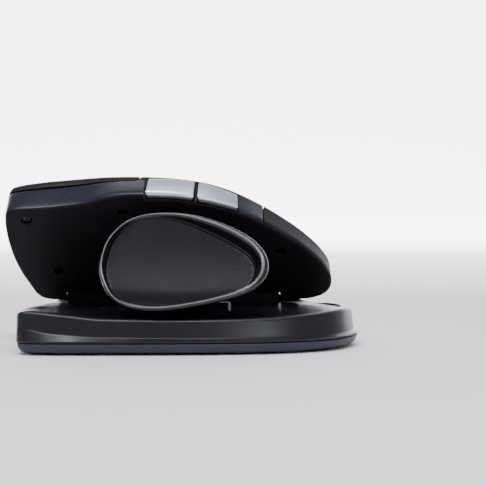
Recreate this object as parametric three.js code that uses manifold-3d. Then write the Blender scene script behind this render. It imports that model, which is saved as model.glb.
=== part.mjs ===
// Tilting ergonomic mouse: a flat base, a mouse body hinged to the base along its little-finger side,
// and an adjustable dished thumb rest carried under the body.
// Millimetres, +Z up. -X is the front (where the fingers point), -Y is the thumb side. z = 0 is the desk.
// The body is modelled flat, in its own frame (x, v, w): x along the mouse, v from the hinge towards the
// thumb, w up from the underside. Then the whole body group is turned up about the hinge by TILT.
import * as THREE from "three";
import { mergeVertices } from "three/addons/utils/BufferGeometryUtils.js";
import Module from "manifold-3d";

const wasm = await Module();
wasm.setup();

// ---------------------------------------------------------------- driving dimensions
const TILT = 42; // degrees, the lowest setting of the body
const BODY_Y = 27; // origin of the body's flat frame, from the base's middle
const BODY_Z = 15.5; // and above the desk
const HINGE = { v: -1.6, w: 3.9 }; // hinge axis in the flat frame, just above the underside plate
const HINGE_Y = BODY_Y - HINGE.v * Math.cos((TILT * Math.PI) / 180) + HINGE.w * Math.sin((TILT * Math.PI) / 180);
const HINGE_Z = BODY_Z + HINGE.v * Math.sin((TILT * Math.PI) / 180) + HINGE.w * Math.cos((TILT * Math.PI) / 180);
const WALL = 2.0; // moulding thickness
const SEAM_Z = 4.05; // height of the base's parting line
const FLOOR_Z = 0.7; // underside of the bottom cover above the desk; the feet fill this
const KNUCKLE_R = 2.8; // hinge knuckle radius
const PIN_R = 1.15; // hinge pin radius
const KEY_REAR_X = -14.2; // rear end of both main keys
const KEY_SPLIT_THUMB = 31.1; // v of the line between the left key and the middle strip
const KEY_SPLIT_PINKY = 22.5; // v of the line between the middle strip and the right key
const KEY_PINKY_EDGE = 4.2; // v of the right key's far edge
const PALM_SEAM_X = 27.8; // seam between the front shell and the rear palm cover
const WHEEL = { x: -38.5, v: 26.8, w: 10.6, r: 8.0, half: 3.1 };
const PCB_W = [4.4, 5.6];
// thumb dish: centre, and the lean of its face back from upright
const DISH_C = [0, -27, 30];
const DISH_LEAN = 27;
const RAIL = { x: 2, v0: 15, v1: 43 };
const PIVOT = { x: 2, v: 30.5 };

// ---------------------------------------------------------------- small helpers
const rad = (a) => (a * Math.PI) / 180;
const lerp = (a, b, t) => a + (b - a) * t;
const clamp = (x, a, b) => Math.min(b, Math.max(a, x));
const smooth = (a, b, x) => {
  const t = clamp((x - a) / (b - a), 0, 1);
  return t * t * (3 - 2 * t);
};
// piecewise linear table, smoothed at its knots by the sampling
function table(rows, x) {
  if (x <= rows[0][0]) return rows[0][1];
  for (let i = 1; i < rows.length; i++)
    if (x <= rows[i][0])
      return lerp(rows[i - 1][1], rows[i][1], smooth(rows[i - 1][0], rows[i][0], x));
  return rows[rows.length - 1][1];
}
// closed uniform Catmull-Rom through rows of numbers
function closedSpline(rows, n) {
  const m = rows.length, out = [];
  for (let k = 0; k < n; k++) {
    const u = (k / n) * m, i = Math.floor(u), t = u - i;
    const p = [i - 1, i, i + 1, i + 2].map((j) => rows[((j % m) + m) % m]);
    out.push(
      p[0].map((_, c) => {
        const [a, b, d, e] = p.map((q) => q[c]);
        return 0.5 * (2 * b + (d - a) * t + (2 * a - 5 * b + 4 * d - e) * t * t + (3 * b - a - 3 * d + e) * t * t * t);
      }),
    );
  }
  return out;
}
// moves a closed 2-D outline inwards by d (a number, or one per point)
function inset(pts, d) {
  const n = pts.length;
  let area = 0;
  for (let i = 0; i < n; i++) {
    const a = pts[i], b = pts[(i + 1) % n];
    area += a[0] * b[1] - b[0] * a[1];
  }
  const s = Math.sign(area);
  return pts.map((p, i) => {
    const a = pts[(i + n - 1) % n], b = pts[(i + 1) % n];
    const tx = b[0] - a[0], ty = b[1] - a[1], l = Math.hypot(tx, ty) || 1;
    const q = Array.isArray(d) ? d[i] : d;
    return [p[0] - (s * ty * q) / l, p[1] + (s * tx * q) / l, ...p.slice(2)];
  });
}
// rings of [x, y, z] joined into one closed body, its two ends capped
function loft(rings, ear = false) {
  const n = rings[0].length, pos = [], idx = [];
  rings.forEach((r) => r.forEach((p) => pos.push(...p)));
  for (let j = 0; j + 1 < rings.length; j++)
    for (let i = 0; i < n; i++) {
      const k = (i + 1) % n, a = j * n + i, b = j * n + k, c = (j + 1) * n + k, d = (j + 1) * n + i;
      idx.push(a, b, c, a, c, d);
    }
  // each end is closed by a fan about the ring's middle
  const cap = (base, last) => {
    const c = rings[base].reduce((s, p) => s.map((q, i) => q + p[i] / n), [0, 0, 0]);
    const m = pos.length / 3;
    pos.push(...c);
    for (let i = 0; i < n; i++) {
      const a = base * n + i, b = base * n + ((i + 1) % n);
      idx.push(...(last ? [a, b, m] : [b, a, m]));
    }
  };
  cap(0, false);
  if (ear) {
    // a long thin end is closed across its width instead
    const base = rings.length - 1, flat = rings[base].map((p) => new THREE.Vector2(p[0], p[1]));
    const ccw = THREE.ShapeUtils.area(flat) > 0;
    THREE.ShapeUtils.triangulateShape(ccw ? flat : flat.slice().reverse(), []).forEach((t) => {
      const q = t.map((i) => base * n + (ccw ? i : n - 1 - i));
      idx.push(...(ccw ? q : [q[0], q[2], q[1]]));
    });
  } else cap(rings.length - 1, true);
  const g = new THREE.BufferGeometry();
  g.setAttribute("position", new THREE.Float32BufferAttribute(pos, 3));
  g.setIndex(idx);
  return g;
}
function solid(geometry) {
  const g0 = geometry.clone();
  g0.deleteAttribute("normal");
  g0.deleteAttribute("uv");
  const g = mergeVertices(g0, 1e-4);
  const mk = (tri) =>
    new wasm.Manifold(new wasm.Mesh({ numProp: 3, vertProperties: new Float32Array(g.attributes.position.array), triVerts: tri }));
  let tri = new Uint32Array(g.index.array), m = mk(tri);
  if (m.volume() < 0) {
    for (let i = 0; i < tri.length; i += 3) [tri[i + 1], tri[i + 2]] = [tri[i + 2], tri[i + 1]];
    m = mk(tri);
  }
  return m;
}
function back(m) {
  const q = m.getMesh(), g = new THREE.BufferGeometry(), v = new Float32Array(q.numVert * 3);
  for (let i = 0; i < q.numVert; i++) v.set(q.vertProperties.subarray(i * q.numProp, i * q.numProp + 3), i * 3);
  g.setAttribute("position", new THREE.BufferAttribute(v, 3));
  g.setIndex(new THREE.BufferAttribute(new Uint32Array(q.triVerts), 1));
  g.computeVertexNormals();
  return g;
}
const moved = (g, x, y, z) => g.clone().translate(x, y, z);
// box between two corners
function box(x0, y0, z0, x1, y1, z1) {
  return solid(new THREE.BoxGeometry(x1 - x0, y1 - y0, z1 - z0).translate((x0 + x1) / 2, (y0 + y1) / 2, (z0 + z1) / 2));
}
// box in the body's flat frame: x, v, w ranges (v runs along -y)
const vbox = (x0, x1, v0, v1, w0, w1) => box(x0, -v1, w0, x1, -v0, w1);
// cylinder along an axis letter, centred at a point
function cyl(axis, r, len, x, y, z, seg = 20, r2 = r) {
  const g = new THREE.CylinderGeometry(r2, r, len, seg);
  if (axis === "x") g.rotateZ(-Math.PI / 2);
  if (axis === "z") g.rotateX(Math.PI / 2);
  return solid(g.translate(x, y, z));
}
// a prism from a 2-D polygon: along z from a to b
function prismZ(poly, a, b) {
  const s = new THREE.Shape(poly.map((p) => new THREE.Vector2(...p)));
  return solid(new THREE.ExtrudeGeometry(s, { depth: b - a, bevelEnabled: false }).translate(0, 0, a));
}
// a prism from a (v, w) polygon along x
function prismX(poly, a, b) {
  const s = new THREE.Shape(poly.map((p) => new THREE.Vector2(-p[0], p[1])));
  const g = new THREE.ExtrudeGeometry(s, { depth: b - a, bevelEnabled: false });
  g.applyMatrix4(new THREE.Matrix4().set(0, 0, 1, a, 1, 0, 0, 0, 0, 1, 0, 0, 0, 0, 0, 1));
  return solid(g);
}
// a prism from an (x, w) polygon, along v
function prismV(poly, v0, v1) {
  const s = new THREE.Shape(poly.map((p) => new THREE.Vector2(p[0], p[1])));
  const g = new THREE.ExtrudeGeometry(s, { depth: v1 - v0, bevelEnabled: false });
  g.applyMatrix4(new THREE.Matrix4().set(1, 0, 0, 0, 0, 0, 1, -v1, 0, 1, 0, 0, 0, 0, 0, 1));
  return solid(g);
}
const add = (...m) => m.reduce((a, b) => a.add(b));

// ---------------------------------------------------------------- materials
const mat = (color, roughness, metalness = 0) => new THREE.MeshStandardMaterial({ color, roughness, metalness });
const M = {
  slate: mat(0x34353f, 0.5),
  black: mat(0x18181b, 0.62),
  soft: mat(0x141416, 0.8),
  rubber: mat(0x1b1b1e, 0.85),
  silver: mat(0xaeb2ba, 0.32, 0.55),
  steel: mat(0x9a9da2, 0.3, 0.9),
  foot: mat(0x2a2a2c, 0.45),
  pcb: mat(0x1f5c3a, 0.55),
  chip: mat(0x111113, 0.45),
  white: mat(0xd8d8d4, 0.5),
  clear: mat(0xb9c4cc, 0.15),
  cell: mat(0xb8bcc4, 0.4, 0.4),
};
const root = new THREE.Group();
const body = new THREE.Group(); // everything that tilts
body.position.set(0, BODY_Y, BODY_Z);
body.rotation.x = -rad(TILT);
root.add(body);
function put(parent, name, m, material) {
  const mesh = new THREE.Mesh(m.isBufferGeometry ? m : back(m), material);
  mesh.name = name;
  parent.add(mesh);
  return mesh;
}

// ================================================================ BASE
const BASE_OUT = [
  [-53.9, -32.5], [-52.3, -36.3], [-48, -38.3], [-40, -38.9], [-28, -39.0], [-12, -38.8], [4, -38.2], [18, -36.9], [31, -34.2],
  [42, -29.8], [51, -23.2], [57.2, -14.2], [60.4, -3.5], [60.6, 8], [57.6, 19], [51, 28.4], [42, 34.8], [30, 38.2], [14, 39.0],
  [-4, 39.0], [-22, 39.0], [-38, 38.6], [-45.6, 36.4], [-49.4, 31], [-51.4, 21], [-53.0, 8], [-54.2, -6], [-54.5, -20],
];
const NB = 60;
const baseRing = closedSpline(BASE_OUT, NB);
const rimNear = [[-56, 14.3], [-50, 14.7], [-37, 13.5], [-27, 12.2], [2, 11.9], [31, 12.1], [46, 12.8], [58, 13.8], [62, 13.8]];
const creaseNear = [[-56, 8.8], [-50, 8.5], [-42, 7.0], [-26, 5.9], [7, 5.5], [24, 5.8], [45, 5.6], [62, 5.6]];
const rimZ = (x, y) => lerp(table(rimNear, x), 12.4, smooth(-26, 22, y) * (1 - 0.5 * smooth(40, 60, x)));
// along the far side a raised wall closes the base in behind the hinge
const ridge = (x, y) => 3.0 * smooth(30.5, 36.5, y) * smooth(50, 38, x);
const creaseZ = (x, y) => lerp(table(creaseNear, x), 6.0, smooth(-20, 20, y));
const topZ = (x, y) => {
  const scoop = 1.5 * Math.exp(-(((x - 2) / 25) ** 2)) * smooth(-4, -22, y);
  return lerp(rimZ(x, y) - 0.35, 12.3, smooth(-34, 0, y)) - scoop;
};
const spineB = (p) => [clamp(p[0] * 0.72, -34, 36), clamp(p[1] * 0.1, -4, 4)];
// the front end stands upright; the other sides draw in above the parting line
const upright = (x) => lerp(0.13, 1, smooth(-53.4, -48.2, x));
function baseRings(o) {
  // outer surface of the upper shell, moved inwards by o
  const R = [];
  const at = (d, z) =>
    inset(baseRing, baseRing.map((p) => Math.min(d, 2.45) * upright(p[0]) * (1 - 0.1 * ridge(p[0], p[1])) + Math.max(d - 2.45, 0) + o)).map((p, i) => [p[0], p[1], z(baseRing[i][0], baseRing[i][1]) - 0]);
  if (o > 0) R.push(at(0.3, () => SEAM_Z - 2));
  R.push(at(0.3, () => SEAM_Z + 0.15));
  R.push(at(0.0, () => SEAM_Z + 0.7));
  R.push(at(1.3, (x, y) => creaseZ(x, y)));
  if (o === 0) R.push(at(1.55, (x, y) => creaseZ(x, y) + 0.35));
  const wall = o === 0 ? ridge : () => 0;
  if (o === 0) R.push(at(2.05, (x, y) => lerp(creaseZ(x, y), rimZ(x, y) + ridge(x, y), 0.45)));
  R.push(at(2.45, (x, y) => rimZ(x, y) + wall(x, y) - 1.5 - (o > 0 ? o - 0.5 : 0)));
  if (o === 0) R.push(at(3.1, (x, y) => rimZ(x, y) + wall(x, y) - 0.45 - o));
  R.push(at(4.2, (x, y) => rimZ(x, y) + 0.6 * wall(x, y) - 0.05 - o));
  const in5 = inset(baseRing, 6.2 + o);
  R.push(in5.map((p) => [p[0], p[1], topZ(p[0], p[1]) - o]));
  for (const s of o === 0 ? [0.3, 0.6, 0.86] : [0.45, 0.86])
    R.push(in5.map((p) => {
      const q = spineB(p), x = lerp(p[0], q[0], s), y = lerp(p[1], q[1], s);
      return [x, y, topZ(x, y) - o];
    }));
  return R;
}
const screwXYBase = [[-45.2, -9.6], [-27.8, 6.0]]; // two screws in the top face
const cornerXY = [[-44, -29], [-42, 29.5], [36, -22], [34, 30]]; // screws from below
const wells = (z0, z1, r) => screwXYBase.map(([x, y]) => cyl("z", r, z1 - z0, x, y, (z0 + z1) / 2, 16));
let shellTop = solid(loft(baseRings(0))).subtract(solid(loft(baseRings(WALL))));
// bosses that the corner screws bite into
for (const [x, y] of cornerXY) shellTop = shellTop.add(cyl("z", 2.6, 10, x, y, 10.7, 12).intersect(solid(loft(baseRings(0.6)))));
for (const [x, y] of screwXYBase)
  shellTop = shellTop.add(cyl("z", 3.4, 3.2, x, y, topZ(x, y) - 2.2, 16));
for (const [x, y] of screwXYBase)
  shellTop = shellTop.subtract(cyl("z", 2.1, 3, x, y, topZ(x, y) + 0.1, 16)).subtract(cyl("z", 0.9, 12, x, y, topZ(x, y) - 4, 12));
for (const [x, y] of cornerXY) shellTop = shellTop.subtract(cyl("z", 1.05, 5, x, y, 7.6, 10));
// sockets for the two hinge brackets
const KN = [[-42, -22.4], [16.4, 34]];
for (const [a, b] of KN) shellTop = shellTop.subtract(box(a - 0.25, HINGE_Y - KNUCKLE_R - 0.25, 6, b + 0.25, HINGE_Y + KNUCKLE_R + 0.25, 20));
put(root, "base_top_shell", shellTop, M.black);

// bottom cover: a tray with a sensor window, switch slot and screw holes
function trayRings(o, top) {
  const at = (d, z) => inset(baseRing, d + o).map((p) => [p[0], p[1], z]);
  return o > 0
    ? [at(2.2, FLOOR_Z + 1.8), at(0.6, top)]
    : [at(3.6, FLOOR_Z), at(2.0, FLOOR_Z + 0.35), at(0.9, FLOOR_Z + 1.3), at(0.35, FLOOR_Z + 2.5), at(0.3, top)];
}
let tray = solid(loft(trayRings(0, SEAM_Z - 0.15))).subtract(solid(loft(trayRings(WALL, SEAM_Z + 1))));
const footPads = { foot_front_thumb: [-36.5, -29.5, 17, 6.5], foot_front_far: [-34, 30, 17, 6.5], foot_rear_thumb: [33, -24, 15, 6.5], foot_rear_far: [30, 29, 15, 6.5] };
const pill = (x, y, l, h, z0, z1) => {
  const r = h / 2, pts = [];
  for (let k = 0; k <= 6; k++) { const a = -Math.PI / 2 + (k / 6) * Math.PI; pts.push([x + l / 2 - r + r * Math.cos(a), y + r * Math.sin(a)]); }
  for (let k = 0; k <= 6; k++) { const a = Math.PI / 2 + (k / 6) * Math.PI; pts.push([x - l / 2 + r + r * Math.cos(a), y + r * Math.sin(a)]); }
  return prismZ(pts, z0, z1);
};
for (const [x, y, l, h] of Object.values(footPads)) tray = tray.subtract(pill(x, y, l + 0.6, h + 0.6, -1, FLOOR_Z + 0.4));
const SENSOR = [-8, 2];
tray = tray.subtract(pill(SENSOR[0], SENSOR[1], 15, 9, -1, 5));
const PSW = [10, 2];
tray = tray.subtract(box(PSW[0] - 4.6, PSW[1] - 1.7, -1, PSW[0] + 4.6, PSW[1] + 1.7, 5));
for (const [x, y] of cornerXY) tray = tray.add(cyl("z", 3.1, 2.8, x, y, FLOOR_Z + 1.8, 12));
for (const [x, y] of cornerXY) tray = tray.subtract(cyl("z", 2.2, 3.4, x, y, FLOOR_Z + 0.2, 14)).subtract(cyl("z", 1.3, 12, x, y, 3, 12));
for (const [x, y, l, h] of Object.values(footPads)) tray = tray.subtract(pill(x, y, l + 0.6, h + 0.6, -1, FLOOR_Z + 0.4));
put(root, "base_bottom_cover", tray, M.black);
for (const [n, [x, y, l, h]] of Object.entries(footPads)) put(root, n, pill(x, y, l, h, 0, FLOOR_Z + 0.1), M.foot);
const machineScrew = (x, y, zHead, dir, headR, shankR, len) => {
  // dir +1: head at the top, shank down; -1: head at the bottom, shank up
  const h = 1.1;
  let m = cyl("z", headR, h, x, y, zHead - (dir * h) / 2, 14).add(cyl("z", shankR, len, x, y, zHead - dir * (h + len / 2 - 0.05), 10));
  return m.subtract(box(x - headR * 0.62, y - 0.22, zHead - 0.45, x + headR * 0.62, y + 0.22, zHead + 0.45)).subtract(box(x - 0.22, y - headR * 0.62, zHead - 0.45, x + 0.22, y + headR * 0.62, zHead + 0.45));
};
cornerXY.forEach(([x, y], i) => put(root, "base_screw_" + (i + 1), machineScrew(x, y, FLOOR_Z + 0.75, -1, 1.9, 0.75, 5), M.steel));
screwXYBase.forEach(([x, y], i) => put(root, "base_top_screw_" + (i + 1), machineScrew(x, y, topZ(x, y) - 0.2, 1, 1.75, 0.7, 4), M.steel));
// tracking: board, sensor, lens
const boardB = box(-27, -13, 4.4, 20, 17, 5.4).subtract(box(SENSOR[0] - 3, SENSOR[1] - 2.5, 4, SENSOR[0] + 3, SENSOR[1] + 2.5, 6));
put(root, "sensor_board", boardB, M.pcb);
put(root, "optical_sensor", box(SENSOR[0] - 5, SENSOR[1] - 5.5, 5.7, SENSOR[0] + 5, SENSOR[1] + 5.5, 7.6), M.chip);
put(root, "sensor_lens", pill(SENSOR[0], SENSOR[1], 14.2, 8.2, FLOOR_Z + 0.5, 2.6).add(cyl("z", 2.1, 2.6, SENSOR[0], SENSOR[1], 3.8, 14)).subtract(cyl("z", 1.2, 2, SENSOR[0], SENSOR[1], FLOOR_Z + 0.5, 12)), M.clear);
// power switch body and its slider
put(root, "power_switch", box(PSW[0] - 4.4, PSW[1] - 2, 2.9, PSW[0] + 4.4, PSW[1] + 2, 4.1).subtract(box(PSW[0] - 3.6, PSW[1] - 1.1, 2, PSW[0] + 3.6, PSW[1] + 1.1, 3.5)), M.steel);
put(root, "power_slider", box(PSW[0] - 3, PSW[1] - 1.4, 1.0, PSW[0], PSW[1] + 1.4, 2.6).add(box(PSW[0] - 2.1, PSW[1] - 0.8, 2.5, PSW[0] - 0.9, PSW[1] + 0.8, 3.3)), M.silver);
// hinge brackets with their knuckles
function bracket(a, b, bore) {
  let m = cyl("x", KNUCKLE_R, b - a, (a + b) / 2, HINGE_Y, HINGE_Z, 28).add(box(a, HINGE_Y - KNUCKLE_R, 8.4, b, HINGE_Y + KNUCKLE_R, HINGE_Z));
  return m.subtract(cyl("x", bore, b - a + 2, (a + b) / 2, HINGE_Y, HINGE_Z, 24));
}
const hingeFront = bracket(KN[0][0], KN[0][1], PIN_R + 0.06).subtract(cyl("x", 2.15, 5.4, KN[0][0] + 2.4, HINGE_Y, HINGE_Z, 24));
const hingeRear = bracket(KN[1][0], KN[1][1], PIN_R + 0.06).subtract(cyl("x", 2.15, 5.4, KN[1][1] - 2.4, HINGE_Y, HINGE_Z, 24));
put(root, "hinge_bracket_front", hingeFront, M.black);
put(root, "hinge_bracket_rear", hingeRear, M.black);
// the hinge pin turns with nothing: it is held by the brackets; friction washers and end caps close the ends
put(root, "hinge_pin", cyl("x", PIN_R, KN[1][1] - KN[0][0] - 2.4, (KN[0][0] + KN[1][1]) / 2, HINGE_Y, HINGE_Z, 24), M.steel);
const washer = (x) => cyl("x", 2.0, 0.5, x, HINGE_Y, HINGE_Z, 20).subtract(cyl("x", PIN_R + 0.2, 2, x, HINGE_Y, HINGE_Z, 20));
put(root, "hinge_washer_front", washer(KN[0][0] + 4.55), M.steel);
put(root, "hinge_washer_rear", washer(KN[1][1] - 4.55), M.steel);
put(root, "hinge_cap_front", cyl("x", 2.0, 1.0, KN[0][0] + 0.5, HINGE_Y, HINGE_Z, 20), M.black);
put(root, "hinge_cap_rear", cyl("x", 2.0, 1.0, KN[1][1] - 0.5, HINGE_Y, HINGE_Z, 20), M.black);

// ================================================================ TILTING BODY (flat frame)
// outline at the underside and at the belt, front-thumb corner first, then along the thumb side to the rear
const C0 = [
  [-60.0, 44.6], [-56.5, 46.5], [-48, 47.3], [-40, 48.45], [-33, 50.0], [-26.4, 52.2], [-19, 52.7], [-10, 52.3], [-2, 51.8], [6.4, 50.0],
  [13.2, 47.8], [20, 44.8], [28, 39.4], [36, 32.6], [43.5, 25], [49.5, 16.5], [52.5, 8], [51.5, 1], [46, -3], [36, -4],
  [20, -4], [0, -4], [-20, -4], [-38, -4], [-48, -3.9], [-52.5, -1.4], [-55.2, 5], [-57.9, 13], [-59.8, 22], [-60.8, 31], [-60.9, 39],
];
const C1 = [
  [-59.6, 43.0, 13.5], [-56.2, 45.0, 13.8], [-47.6, 46.6, 14.1], [-39.6, 47.6, 14.2], [-32.6, 48.6, 14.1], [-26, 49.6, 13.8], [-18.8, 50.4, 13.3],
  [-10, 50.8, 12.8], [-2.2, 50.4, 12.5], [6, 49.0, 12.3], [12.6, 46.8, 12.1], [19.4, 43.3, 11.9], [27.2, 37.8, 11.6], [35, 31.2, 11.2],
  [42.4, 23.8, 10.8], [48.6, 15.6, 10.4], [52, 7.6, 10.2], [51.2, 0.6, 10], [46, -3.8, 9.9], [36, -5.2, 9.9], [20, -5.4, 9.9], [0, -5.4, 10],
  [-20, -5.4, 10.2], [-37.6, -5, 10.4], [-46.4, -4.2, 10.6], [-51.4, -1.2, 10.8], [-54.4, 4.4, 11], [-57, 12.4, 11.3], [-59, 21.4, 11.6], [-60, 30.2, 12.2], [-60.3, 38, 12.9],
];
const FIN_X = -12.7; // in front of the side buttons the underside edge stands higher
const C0_FIN = C0.map((p, i) => (i === 5 ? [-26.4, 52.65] : i === 6 ? [-19, 54.35] : i === 7 ? [-10, 54.5] : i === 8 ? [-2, 54.2] : p));
const NR = 60;
const c0 = closedSpline(C0, NR), c1 = closedSpline(C1, NR), c0Fin = closedSpline(C0_FIN, NR);
const EDGE_R = 2.6;
const domeTable = [[-60, 13.5], [-44, 15.6], [-22, 18.3], [0, 19.8], [14, 19.8], [30, 17.4], [50, 13]];
const spine = (p) => {
  const x = clamp(p[0] * 0.8, -42, 30);
  return [x, lerp(24, 17, (x + 42) / 72)];
};
// o: how far the surface is moved inwards (negative: outwards)
function bodyRings(o, low, fin) {
  const R = [], f = (p, w) => [p[0], -p[1], w], base0 = fin ? c0Fin : c0;
  const d0 = inset(base0, 0 + o), d1 = inset(c1, o);
  const r = Math.max(EDGE_R - o, 0.3);
  if (o > 0) R.push(d0.map((p) => f(p, low)));
  else {
    R.push(inset(base0, 0.45 + o).map((p) => f(p, 0)));
    R.push(d0.map((p) => f(p, 0.45)));
  }
  R.push(d0.map((p, i) => f([lerp(p[0], d1[i][0], 0.45), lerp(p[1], d1[i][1], 0.38)], (c1[i][2] - EDGE_R) * 0.5)));
  R.push(d1.map((p, i) => f(p, c1[i][2] - EDGE_R)));
  for (const a of [28, 52]) {
    const q = inset(c1, o + r * (1 - Math.cos(rad(a))));
    R.push(q.map((p, i) => f(p, c1[i][2] - EDGE_R + r * Math.sin(rad(a)))));
  }
  const e = inset(c1, o + r * (1 - Math.cos(rad(66))));
  const we = c1.map((p) => p[2] - EDGE_R + r * Math.sin(rad(66)));
  for (const s of [0.001, 0.16, 0.36, 0.58, 0.8])
    R.push(e.map((p, i) => {
      const q = spine(p), top = table(domeTable, q[0]) - o;
      return f([lerp(p[0], q[0], s), lerp(p[1], q[1], s)], lerp(we[i], top, 1 - (1 - s) * (1 - s)));
    }));
  return R;
}
const bodySolid = (o, low, fin) => solid(loft(bodyRings(o, low, fin), o < 2.4));
const outer = bodySolid(0, 0, true).intersect(vbox(-80, FIN_X, -20, 80, -5, 60)).add(bodySolid(0).intersect(vbox(FIN_X, 80, -20, 80, -5, 60)));
const inner = bodySolid(WALL, -1);
const proud = bodySolid(-1.1);
const deep = bodySolid(1.2, -1);
// hinge notches: the shells and the underside keep clear of the two brackets through the whole tilt, and of the barrel
const BARREL = [-21.9, 15.9];
const along = (r, a, b) => cyl("x", r, b - a, (a + b) / 2, -HINGE.v, HINGE.w, 28);
const channel = add(
  ...KN.flatMap(([a, b]) => [
    vbox(a - 0.4, b + 0.4, -12, 0.8, -2, HINGE.w), vbox(a - 0.4, b + 0.4, -12, HINGE.v, -2, HINGE.w + KNUCKLE_R + 0.4),
    along(KNUCKLE_R + 0.4, a - 0.4, b + 0.4),
  ]),
  along(KNUCKLE_R + 0.3, BARREL[0] - 0.4, BARREL[1] + 0.4),
);
const SPLIT_W = [0.4, 0.5]; // top of the underside cover's edge, and bottom of the shells
const hollow = outer.subtract(inner).subtract(channel).intersect(vbox(-90, 90, -20, 90, SPLIT_W[1], 60));
// the line under the keys: w of the gap as a function of v
const gapW = (v) => 7.9 + 0.0385 * v;
const keyPrism = (v0, v1, g) =>
  prismX([[v0, 40], [v0, gapW(v0) + g], [v1, gapW(v1) + g], [v1, 40]], -75, KEY_REAR_X + (g > 0 ? -0.2 : 0.2));
const leftCut = keyPrism(KEY_SPLIT_THUMB - 0.2, 75, -0.45), rightCut = keyPrism(KEY_PINKY_EDGE - 0.2, KEY_SPLIT_PINKY + 0.2, -0.45);
const wheelSlot = vbox(WHEEL.x - 9.4, WHEEL.x + 9.4, WHEEL.v - 3.9, WHEEL.v + 3.9, 8, 30);
const MODE = { x0: -24.5, x1: -17.5, v0: 24.4, v1: 29.2 };
const LED = { x0: -13.2, x1: -10.6, v0: 25.8, v1: 27.8 };
// side buttons: outlines seen from the thumb side, in (x, w)
const BTN_A = [[-12.3, 0.95], [4.1, 0.95], [4.5, 10.0], [-11.2, 10.2]];
const BTN_B = [[5.4, 0.95], [19.2, 0.95], [19.0, 8.3], [5.8, 9.9]];
const openEnd = (poly) => poly.map((p) => (p[1] < 1 ? [p[0], -1] : p)); // the openings run out at the bottom
const grow = (poly, g) => {
  const cx = poly.reduce((a, p) => a + p[0], 0) / 4, cw = poly.reduce((a, p) => a + p[1], 0) / 4;
  return poly.map((p) => [p[0] + Math.sign(p[0] - cx) * g, p[1] + Math.sign(p[1] - cw) * g]);
};
let shell = hollow
  .subtract(leftCut).subtract(rightCut).subtract(wheelSlot)
  .subtract(vbox(MODE.x0 - 0.3, MODE.x1 + 0.3, MODE.v0 - 0.3, MODE.v1 + 0.3, 10, 30))
  .subtract(vbox(LED.x0 - 0.3, LED.x1 + 0.3, LED.v0 - 0.3, LED.v1 + 0.3, 10, 30))
  .subtract(prismV(openEnd(grow(BTN_A, 0.35)), 36, 70)).subtract(prismV(openEnd(grow(BTN_B, 0.35)), 36, 70));
// charging socket opening in the front wall
const USB = { v: 26.8, w: 5.0, half: 4.6, h: 1.7 };
shell = shell.subtract(vbox(-70, -50, USB.v - USB.half - 0.4, USB.v + USB.half + 0.4, USB.w - USB.h - 0.3, USB.w + USB.h + 0.3));
// split into front shell and rear palm cover, with a tongue behind the seam
const frontHalf = vbox(-80, PALM_SEAM_X - 0.15, -20, 80, -5, 40), rearHalf = vbox(PALM_SEAM_X + 0.2, 90, -20, 80, -5, 40);
const lip = bodySolid(WALL + 0.35, -1).subtract(bodySolid(WALL + 1.35, -2)).intersect(vbox(PALM_SEAM_X - 4, PALM_SEAM_X + 1.5, 10, 60, 6.5, 30));
const rearShell = shell.intersect(rearHalf);
const largest = (m) => m.decompose().sort((a, b) => b.volume() - a.volume())[0];
put(body, "front_shell", largest(shell.intersect(frontHalf)), M.slate);
put(body, "rear_palm_cover", largest(rearShell), M.soft);

// underside cover: a flat plate with notches for the hinge brackets
const innerGap = bodySolid(WALL + 0.3, -1);
let under = outer.intersect(vbox(-90, 90, -20, 90, -1, SPLIT_W[0])); // plate, out to the edge
under = under.add(innerGap.intersect(vbox(-90, 90, -20, 90, 0.3, 1.9))); // and a thicker middle inside the shells
under = under.subtract(channel);
const UND_SCREWS = [[-53.2, 41.0], [-20.0, 45.2], [-44, 13], [34, 24]];
for (const [x, v] of UND_SCREWS) under = under.add(cyl("z", 3.0, 2.6, x, -v, 2.6, 16).intersect(innerGap));
for (const [x, v] of UND_SCREWS) under = under.subtract(cyl("z", 2.0, 3.6, x, -v, 0.2, 18)).subtract(cyl("z", 1.0, 12, x, -v, 3, 12));
put(body, "underside_cover", largest(under), M.soft);
UND_SCREWS.forEach(([x, v], i) => put(body, "underside_screw_" + (i + 1), machineScrew(x, -v, 0.75, -1, 1.7, 0.7, 2.0), M.steel));
// hinge barrel on the body: barrel between the brackets, with a flange on the plate
let barrel = along(KNUCKLE_R, BARREL[0], BARREL[1]).add(vbox(-20, 14, HINGE.v, 7.4, 2.0, 3.6));
barrel = barrel.subtract(along(PIN_R + 0.06, -40, 40));
put(body, "hinge_barrel", barrel, M.black);

// main keys
const keyShell = outer.subtract(bodySolid(2.0, -1));
const post = (x, v, w0, w1, r) => cyl("z", r, w1 - w0, x, -v, (w0 + w1) / 2, 14);
const SWL = [-46.6, 36.6], SWR = [-46.6, 14.5];
const inDome = bodySolid(1.0, -1);
let left = largest(keyShell.intersect(keyPrism(KEY_SPLIT_THUMB + 0.2, 75, 0.4)));
left = left.add(post(SWL[0], SWL[1], 11.5, 16, 1.7).intersect(inDome));
let right = largest(keyShell.intersect(keyPrism(KEY_PINKY_EDGE + 0.2, KEY_SPLIT_PINKY - 0.2, 0.4)));
right = right.add(post(SWR[0], SWR[1], 11.5, 16, 1.7).intersect(inDome));
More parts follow.
